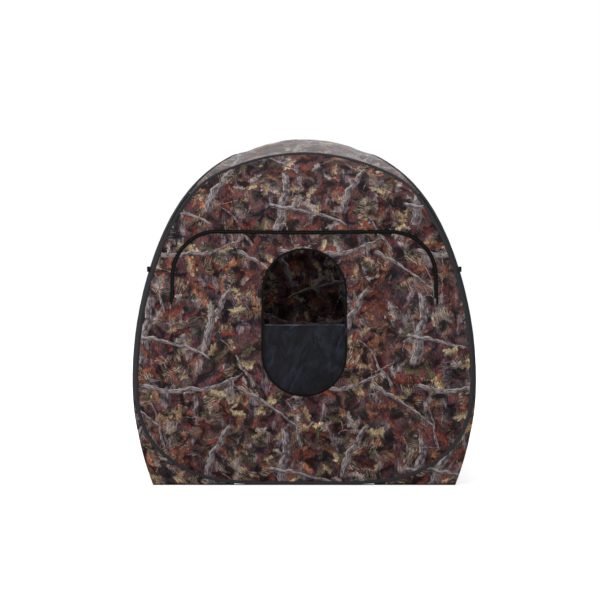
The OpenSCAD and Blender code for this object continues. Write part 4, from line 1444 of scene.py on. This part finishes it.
@dataclass
class CornerGusset:
    """Cloth in a lower corner, outside the round bends of two neighbouring hoops, folded at the corner."""

    side: Side
    name: str
    seeds: Relief
    foot: float = 0.0026
    inner_x: float = 0.30
    top: float = 0.43

    def half(self, mirrored: bool) -> tuple[Array, Array]:
        """Chart points and quads of one face of the gusset."""
        z = np.linspace(self.foot, self.top, 24)
        edge = np.stack([DOME.half_width(z), z], axis=1)
        outer = np.vstack([[[self.inner_x, self.foot]], edge, [[self.inner_x, self.top]]])
        p, quads = trimmed_grid(outer, [inset(resampled(DOME.hoop(), 0.008, True), -0.0028)], 0.0075)
        return (p * [-1, 1], quads[:, ::-1]) if mirrored else (p, quads)

    def build(self) -> bpy.types.Object:
        """Lifts both faces, joins them along the corner and dresses them."""
        places, outs, uvs, faces, start = [], [], [], [], 0
        for quarter, mirrored in ((0, False), (1, True)):
            p, quads = self.half(mirrored)
            shape = WallShape(Side((self.side + quarter) % 4), self.seeds)
            corner = DOME.half_width(p[:, 1]) - np.abs(p[:, 0])
            swell = 0.006 * noise(p * [1.6, 0.7], 0.08, self.seeds.seed + quarter)
            swell += 0.004 * ridged(p, 0.06, self.seeds.seed + 5)
            held = smoothstep(0.0, 0.03, corner) * smoothstep(0.0, 0.05, p[:, 1])
            places.append(shape.place(p, swell * held, relief=False))
            outs.append(shape.frame_at(p)[2])
            across = np.where(mirrored, corner, -corner)
            uvs.append(np.stack([across + 0.3 * self.side, DOME.climb(p[:, 1])], axis=1))
            faces.append(quads + start)
            start += len(p)
        place, out, uv, quads = (np.vstack(x) for x in (places, outs, uvs, faces))
        _, first, index = np.unique(np.round(place, 5), axis=0, return_index=True, return_inverse=True)
        index = index.ravel()
        mean = np.zeros((len(first), 3))
        np.add.at(mean, index, out)
        obj = thick_sheet(self.name + "_cloth", place[first], unit(mean), index[quads], uv[first])
        dress(obj, CLOTH, CLOTH_REVERSE)
        settle(obj, "shell", [self.name])
        return obj


@dataclass
class Trim:
    """Black hems, corner seams and webbing on the shell."""

    hem_w: float = 0.0140
    loop_z: float = 1.020
    loop_w: float = 0.025
    tab_w: float = 0.026
    tab_z: float = 0.0022
    tab_t: float = 0.0020
    hole_r: float = 0.0078
    tie_w: float = 0.015
    tie_t: float = 0.0015
    tie_top: float = 0.796
    tie_foot: float = 0.722

    def hem(self, side: Side, label: str) -> bpy.types.Object:
        """The flat hem tape on the ground, a little wavy, with a row of stitches."""
        reach = float(DOME.half_width(0.0))
        x = np.linspace(-reach, reach, 160)
        wave = 0.0012 * noise(np.stack([x, x * 0], axis=1), 0.11, 300 + side)
        line = np.stack([x, np.full(160, 0.0065 - reach) + wave, np.full(160, 0.0013)], axis=1)
        across = repeated([0.0, 1.0, 0.0], 160)
        hem, sewn = Parts(), Parts()
        hem.band(turn_about_z(line, side), turn_about_z(across, side), self.hem_w, 0.0022)
        out = repeated([0.0, 0.0, 1.0], 160)
        sewn.stitches(turn_about_z(line + [0, -0.0035, 0.0012], side), out)
        obj = dress(hem.make(f"hem_{label}_tape"), WEBBING)
        settle(dress(sewn.make(f"hem_{label}_stitches", smooth=False), THREAD), "shell")
        return settle(obj, "shell", [f"hem_{label}"])

    def corner_seams(self) -> bpy.types.Object:
        """A tape up each corner between the two bindings, and a wider one behind them below the roof's
        tips, so that no light passes between them."""
        seams = Parts()
        for low, high, behind, width in ((0.33, 1.437, 0.0042, 0.0135), (1.18, 1.372, 0.0165, 0.034)):
            z = np.linspace(low, high, 150)
            r = DOME.half_width(z) - behind
            for side in Side:
                path = turn_about_z(np.stack([r, -r, z], axis=1), side)
                across = turn_about_z(repeated([0.7071, 0.7071, 0.0], 150), side)
                seams.band(path, across, width, 0.0030)
        return settle(dress(seams.make("corner_seams"), BINDING), "shell")

    def tie_out_loops(self) -> bpy.types.Object:
        """Flattened loops of webbing, standing out of the corners, each with a bar tack."""
        a = np.linspace(0, 2 * math.pi, 41)[:-1]
        flat = np.stack([0.0075 + 0.0075 * np.cos(a) * (1 + 0.12 * np.cos(a)), 0.0031 * np.sin(a)], axis=1)
        at = float(DOME.half_width(self.loop_z)) + 0.0008
        loops, tacks = Parts(), Parts()
        c = math.sqrt(0.5)
        for side in Side:
            x = at + c * flat[:, 0] + c * flat[:, 1]
            y = -at - c * flat[:, 0] + c * flat[:, 1]
            path = turn_about_z(np.stack([x, y, np.full(40, self.loop_z)], axis=1), side)
            loops.band(path, repeated([0.0, 0.0, 1.0], 40), self.loop_w, 0.0016, closed=True)
            z = np.linspace(-0.010, 0.010, 12) + self.loop_z
            for face in (1, -1):
                aside = face * 0.0031
                line = np.stack([np.full(12, at + (0.0030 + aside) * c),
                                 np.full(12, (aside - 0.0030) * c - at), z], axis=1)
                out = repeated([face * c, face * c, 0.0], 12)
                tacks.stitches(turn_about_z(line, side), turn_about_z(out, side), 0.0024)
        settle(dress(tacks.make("tie_out_tacks", smooth=False), THREAD), "shell")
        return settle(dress(loops.make("tie_out_webbing"), WEBBING), "shell", ["tie_out_loops"])

    def stake_tabs(self) -> bpy.types.Object:
        """Webbing tabs under the corners, sewn to the hem, with a clean hole round each grommet.

        The square eye is made of rings between the hole and its edge; its tail runs under the hem.
        """
        _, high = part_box("stake_grommets")
        at = high[0] - 0.011
        c = math.sqrt(0.5)
        tabs, sewn = Parts(), Parts()
        mid_z, t = self.tab_z, self.tab_t
        ring = circle(np.arange(0, 360, 7.5))
        hole = ring * self.hole_r
        eye = ring / np.abs(ring / (0.5 * self.tab_w)).max(axis=1)[:, None]
        n = len(hole)
        loops = [(hole, t / 2), (hole * 1.06, t / 2), (eye * 0.97, t / 2), (eye, t / 4), (eye, -t / 4),
                 (eye * 0.97, -t / 2), (hole * 1.06, -t / 2), (hole, -t / 2)]
        flat = np.vstack([np.column_stack([q, np.full(n, h)]) for q, h in loops])
        i, j = np.meshgrid(np.arange(8), np.arange(n), indexing="ij")
        i2, j2 = (i + 1) % 8, (j + 1) % n
        quads = np.stack([i * n + j, i2 * n + j, i2 * n + j2, i * n + j2], axis=-1).reshape(-1, 4)
        tail = np.linspace(0.0128, 0.0620, 14)
        for side in Side:
            turn = np.array([[-c, c, 0.0], [c, c, 0.0], [0.0, 0.0, 1.0]])
            eye_at = flat @ turn * [1, 1, 1] + [at, -at, mid_z]
            tabs.add(turn_about_z(eye_at, side), [quads[:, ::-1]], flat[:, :2])
            line = np.stack([at - c * tail, c * tail - at, np.full(14, mid_z)], axis=1)
            line[:, 2] += 0.0016 * smoothstep(0.02, 0.05, tail)
            across = turn_about_z(repeated([c, c, 0.0], 14), side)
            tabs.band(turn_about_z(line, side), across, self.tab_w, t)
            back, aside = np.array([0.020, 0.052, 0.052, 0.020, 0.020]), 0.009 * np.array([-1, 1, -1, 1, -1])
            top = np.column_stack([at - c * back + c * aside, c * back + c * aside - at,
                                   np.full(5, mid_z + 0.0030)])
            sewn.stitches(turn_about_z(top, side), repeated([0.0, 0.0, 1.0], 5))
        settle(dress(sewn.make("stake_tab_stitches", smooth=False), THREAD), "shell")
        return settle(dress(tabs.make("stake_tab_webbing"), WEBBING), "shell", ["stake_tabs"])

    def toggle(self, straps: Parts, x: float, y: float, z: float, n: int = 20) -> None:
        """A round bar of n sides along X, with soft ends, at a strap's foot."""
        s = np.linspace(-1, 1, n + 1)
        girth = 0.0040 * np.sqrt(np.maximum(1.0 - np.abs(s) ** 8, 0.02))
        girth = girth * (1.0 - 0.12 * np.cos(s * math.pi / 2))
        ring = circle(np.arange(n) * 360 / n)[None] * girth[:, None, None]
        along = np.repeat((x + 0.012 * s)[:, None, None], n, axis=1)
        points = np.concatenate([along, ring + [y, z]], axis=-1).reshape(-1, 3)
        i, j = np.meshgrid(np.arange(n), np.arange(n), indexing="ij")
        here, there, j2 = i * n, (i + 1) * n, (j + 1) % n
        quads = np.stack([here + j, here + j2, there + j2, there + j], axis=-1).reshape(-1, 4)
        cap = np.arange(n)[None]
        straps.add(points, [quads[:, ::-1], cap, cap[:, ::-1] + n * n])

    def cover_ties(self) -> bpy.types.Object:
        """Two straps inside the front wall, each with a round toggle that holds the rolled cover."""
        straps = Parts()
        y = 0.010 - float(DOME.half_width(self.tie_top))
        drop = self.tie_top - self.tie_foot
        for sign in (-1, 1):
            x = sign * (0.190 + TAPE_W + 0.026)
            z = np.linspace(self.tie_top, self.tie_foot, 24)
            sway = 0.0012 * np.sin((self.tie_top - z) / drop * math.pi)
            path = np.stack([np.full(24, x), y + 0.0008 + sway, z], axis=1)
            straps.band(path, repeated([1.0, 0.0, 0.0], 24), self.tie_w, self.tie_t)
            fold_z = np.linspace(self.tie_top, self.tie_top - 0.008, 8)
            folded = np.stack([np.full(8, x), np.linspace(y, y - 0.0045, 8), fold_z], axis=1)
            straps.band(folded, repeated([1.0, 0.0, 0.0], 8), self.tie_w, self.tie_t)
            self.toggle(straps, x, y + 0.0050, self.tie_foot + 0.008)
        obj = dress(straps.make("front_cover_tie_straps"), WEBBING)
        return settle(obj, "shell", ["front_cover_ties"])


@dataclass
class WallSet:
    """A wall, its binding and the pieces sewn into it."""

    shape: WallShape
    label: str

    def build_wall(self, holes: Sequence[Array]) -> None:
        """The wall's cloth with its holes, and the binding round its hoop."""
        EdgeBinding(self.shape, f"binding_{self.label}").build()
        edge = inset(resampled(DOME.hoop(), 0.008, closed=True), BINDING_R + 0.0005)
        ClothPanel(f"{self.label}_wall_cloth", self.shape, edge, "shell", f"{self.label}_wall",
                   (1.60, 1.70), holes).build()

    def panel(self, name: str, gate: Gate, fold: float, holes: Sequence[Array],
              flat: tuple[float, float]) -> None:
        """A zipped panel that folds down about its foot, with both zip tapes."""
        edge = gate.outline(0.0004 - TAPE_W, fold)
        ClothPanel(f"{name}_cloth", self.shape, edge, name, name, flat, holes).build()
        hinge_tape = "flap" if name.endswith("flap") else "door"
        Zip(f"{name}_wall_zip", self.shape, gate.line(), "shell", f"{name}_zip_wall_tape",
            right=False).build()
        Zip(f"{name}_own_zip", self.shape, gate.line(0.0, fold), name, f"{name}_zip_{hinge_tape}_tape",
            right=True).build()

    def side_window(self) -> None:
        """A closed window: its zip all round and both halves of its cover."""
        Zip(f"{self.label}_window_zip", self.shape, WINDOW.outline(), "shell", f"{self.label}_window_tape",
            right=True, closed=True).build()
        for part, body in (("low", "shell"), ("high", f"{self.label}_cover")):
            WindowCover(f"{self.label}_cover_{part}_cloth", self.shape, WINDOW, body,
                        f"{self.label}_cover_{part}", part == "high", ease=0.3).build()

    def front_window(self) -> None:
        """The half open window: its zip below and above the flap's fold, the lower cover, and the upper
        one folded down inside."""
        edge = resampled(WINDOW.outline(), 0.006, closed=True)
        start = int(np.argmax((edge[:, 1] >= FLAP_FOLD) & (np.roll(edge[:, 1], 1) < FLAP_FOLD)))
        edge = np.roll(edge, -start, axis=0)
        high = edge[:, 1] >= FLAP_FOLD
        ends = np.array([[WINDOW.r, FLAP_FOLD]]), np.array([[-WINDOW.r, FLAP_FOLD]])
        upper = np.vstack([ends[0], edge[high], ends[1]])
        lower = np.vstack([ends[1], edge[~high], ends[0]])
        Zip("front_window_zip_high", self.shape, upper, "front_flap", "front_window_tape_high",
            right=True).build()
        Zip("front_window_zip_low", self.shape, lower, "shell", "front_window_tape_low", right=True).build()
        WindowCover("front_cover_low_cloth", self.shape, WINDOW, "shell", "front_cover_low", False).build()
        WindowCover("front_cover_high_cloth", self.shape, WINDOW, "front_cover", "front_cover_high", True,
                    open_deg=165.0).build()


@dataclass
class Studio:
    """Pale floor, soft lights and the camera."""

    distance: float = 8.5563
    height: float = 1.345
    pitch: float = 3.43
    lens: float = 100.6
    aside: float = -0.020
    ambient: float = 0.5

    def floor(self) -> None:
        """A wide disc of pale floor."""
        a = np.radians(np.arange(0, 360, 5))
        rim = np.stack([np.cos(a) * 60, np.sin(a) * 60, np.full(72, -0.0005)], axis=1)
        disc = make_mesh("studio_floor", rim, [np.arange(72)[None]], rim[:, :2])
        dress(disc, FLOOR)

    def lamp(self, name: str, place: tuple[float, float, float], size: float, power: float,
             aim: tuple[float, float, float] = (0, 0, 0.8)) -> None:
        """A square area light that faces a point."""
        data = bpy.data.lights.new(name, "AREA")
        data.size, data.energy = size, power
        lamp = bpy.data.objects.new(name, data)
        lamp.location = place
        way = Vector(aim) - Vector(place)
        lamp.rotation_mode = "QUATERNION"
        lamp.rotation_quaternion = way.to_track_quat("-Z", "Y")
        bpy.context.scene.collection.objects.link(lamp)

    def world(self) -> None:
        """Even pale light from all round, with a plain white backdrop straight behind the blind."""
        world = bpy.data.worlds.new("studio")
        world.use_nodes = True
        g = Graph(world.node_tree)
        seen = g.add("ShaderNodeLightPath").outputs["Is Camera Ray"]
        back = world.node_tree.nodes["Background"]
        back.inputs[0].default_value = (1.0, 1.0, 1.0, 1.0)
        g.feed(back.inputs[1], g.span(seen, 0.0, 1.0, self.ambient, 1.0, soft=False))
        bpy.context.scene.world = world
        bpy.context.scene.view_settings.view_transform = "Standard"

    def camera(self) -> None:
        """The camera, straight ahead of the blind and a little above its middle."""
        data = bpy.data.cameras.new("camera")
        data.lens, data.sensor_width = self.lens, 36.0
        data.clip_end = 200.0
        cam = bpy.data.objects.new("camera", data)
        cam.location = (self.aside, -self.distance, self.height)
        cam.rotation_euler = (math.radians(90 - self.pitch), 0.0, 0.0)
        bpy.context.scene.collection.objects.link(cam)
        bpy.context.scene.camera = cam

    def build(self) -> None:
        """Sets the whole studio up."""
        self.floor()
        self.world()
        self.camera()
        self.lamp("key", (-4.5, -5.0, 4.4), 2.4, 250.0)
        self.lamp("fill", (4.5, -4.0, 3.0), 4.0, 20.0)
        self.lamp("top", (0.0, 0.6, 5.2), 3.5, 60.0)
        self.lamp("back", (1.5, 6.0, 4.0), 4.0, 110.0)
        self.lamp("inside", (0.0, 0.1, 1.45), 0.5, 1.6, (0.0, 0.3, 0.0))


def dress_frame() -> None:
    """Gives the frame parts that stay in sight their metal finishes."""
    for name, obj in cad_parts.items():
        if name.endswith(("_slider", "_pull")):
            dress(obj, ENAMEL)
        elif name == "hoop_ferrules":
            dress(obj, PLATED)
        elif name.startswith("hoop_"):
            dress(obj, WIRE)
        elif name == "stake_grommets":
            dress(obj, BRASS)


def main() -> None:
    """Builds the blind piece by piece, then the studio."""
    logging.basicConfig(level=logging.INFO, format="%(name)s: %(message)s")
    shapes = {
        Side.FRONT: WallShape(Side.FRONT, Relief(11, FLAP, WINDOW)),
        Side.RIGHT: WallShape(Side.RIGHT, Relief(23, None, WINDOW)),
        Side.BACK: WallShape(Side.BACK, Relief(37, DOOR)),
        Side.LEFT: WallShape(Side.LEFT, Relief(53, None, WINDOW)),
    }
    dress_frame()
    opening = WINDOW.outline(TAPE_W - 0.0006)
    front = WallSet(shapes[Side.FRONT], "front")
    front.build_wall([FLAP.outline(TAPE_W - 0.0006, FLAP_FOLD), opening])
    front.panel("front_flap", FLAP, FLAP_FOLD, [opening], (1.23, 0.32))
    front.front_window()
    for side in (Side.RIGHT, Side.LEFT):
        wall = WallSet(shapes[side], side.name.lower())
        wall.build_wall([opening])
        wall.side_window()
    back = WallSet(shapes[Side.BACK], "back")
    back.build_wall([DOOR.outline(TAPE_W - 0.0006, DOOR_FOLD)])
    back.panel("back_door", DOOR, DOOR_FOLD, [], (0.62, 1.06))
    Roof().build()
    corners = ("front_right", "back_right", "back_left", "front_left")
    for side, corner in zip(Side, corners):
        CornerGusset(side, f"corner_gusset_{corner}", Relief(400 + 9 * side)).build()
    trim = Trim()
    for side in Side:
        trim.hem(side, side.name.lower())
    trim.corner_seams()
    trim.tie_out_loops()
    trim.stake_tabs()
    trim.cover_ties()
    Studio().build()


if __name__ == "__main__":
    main()
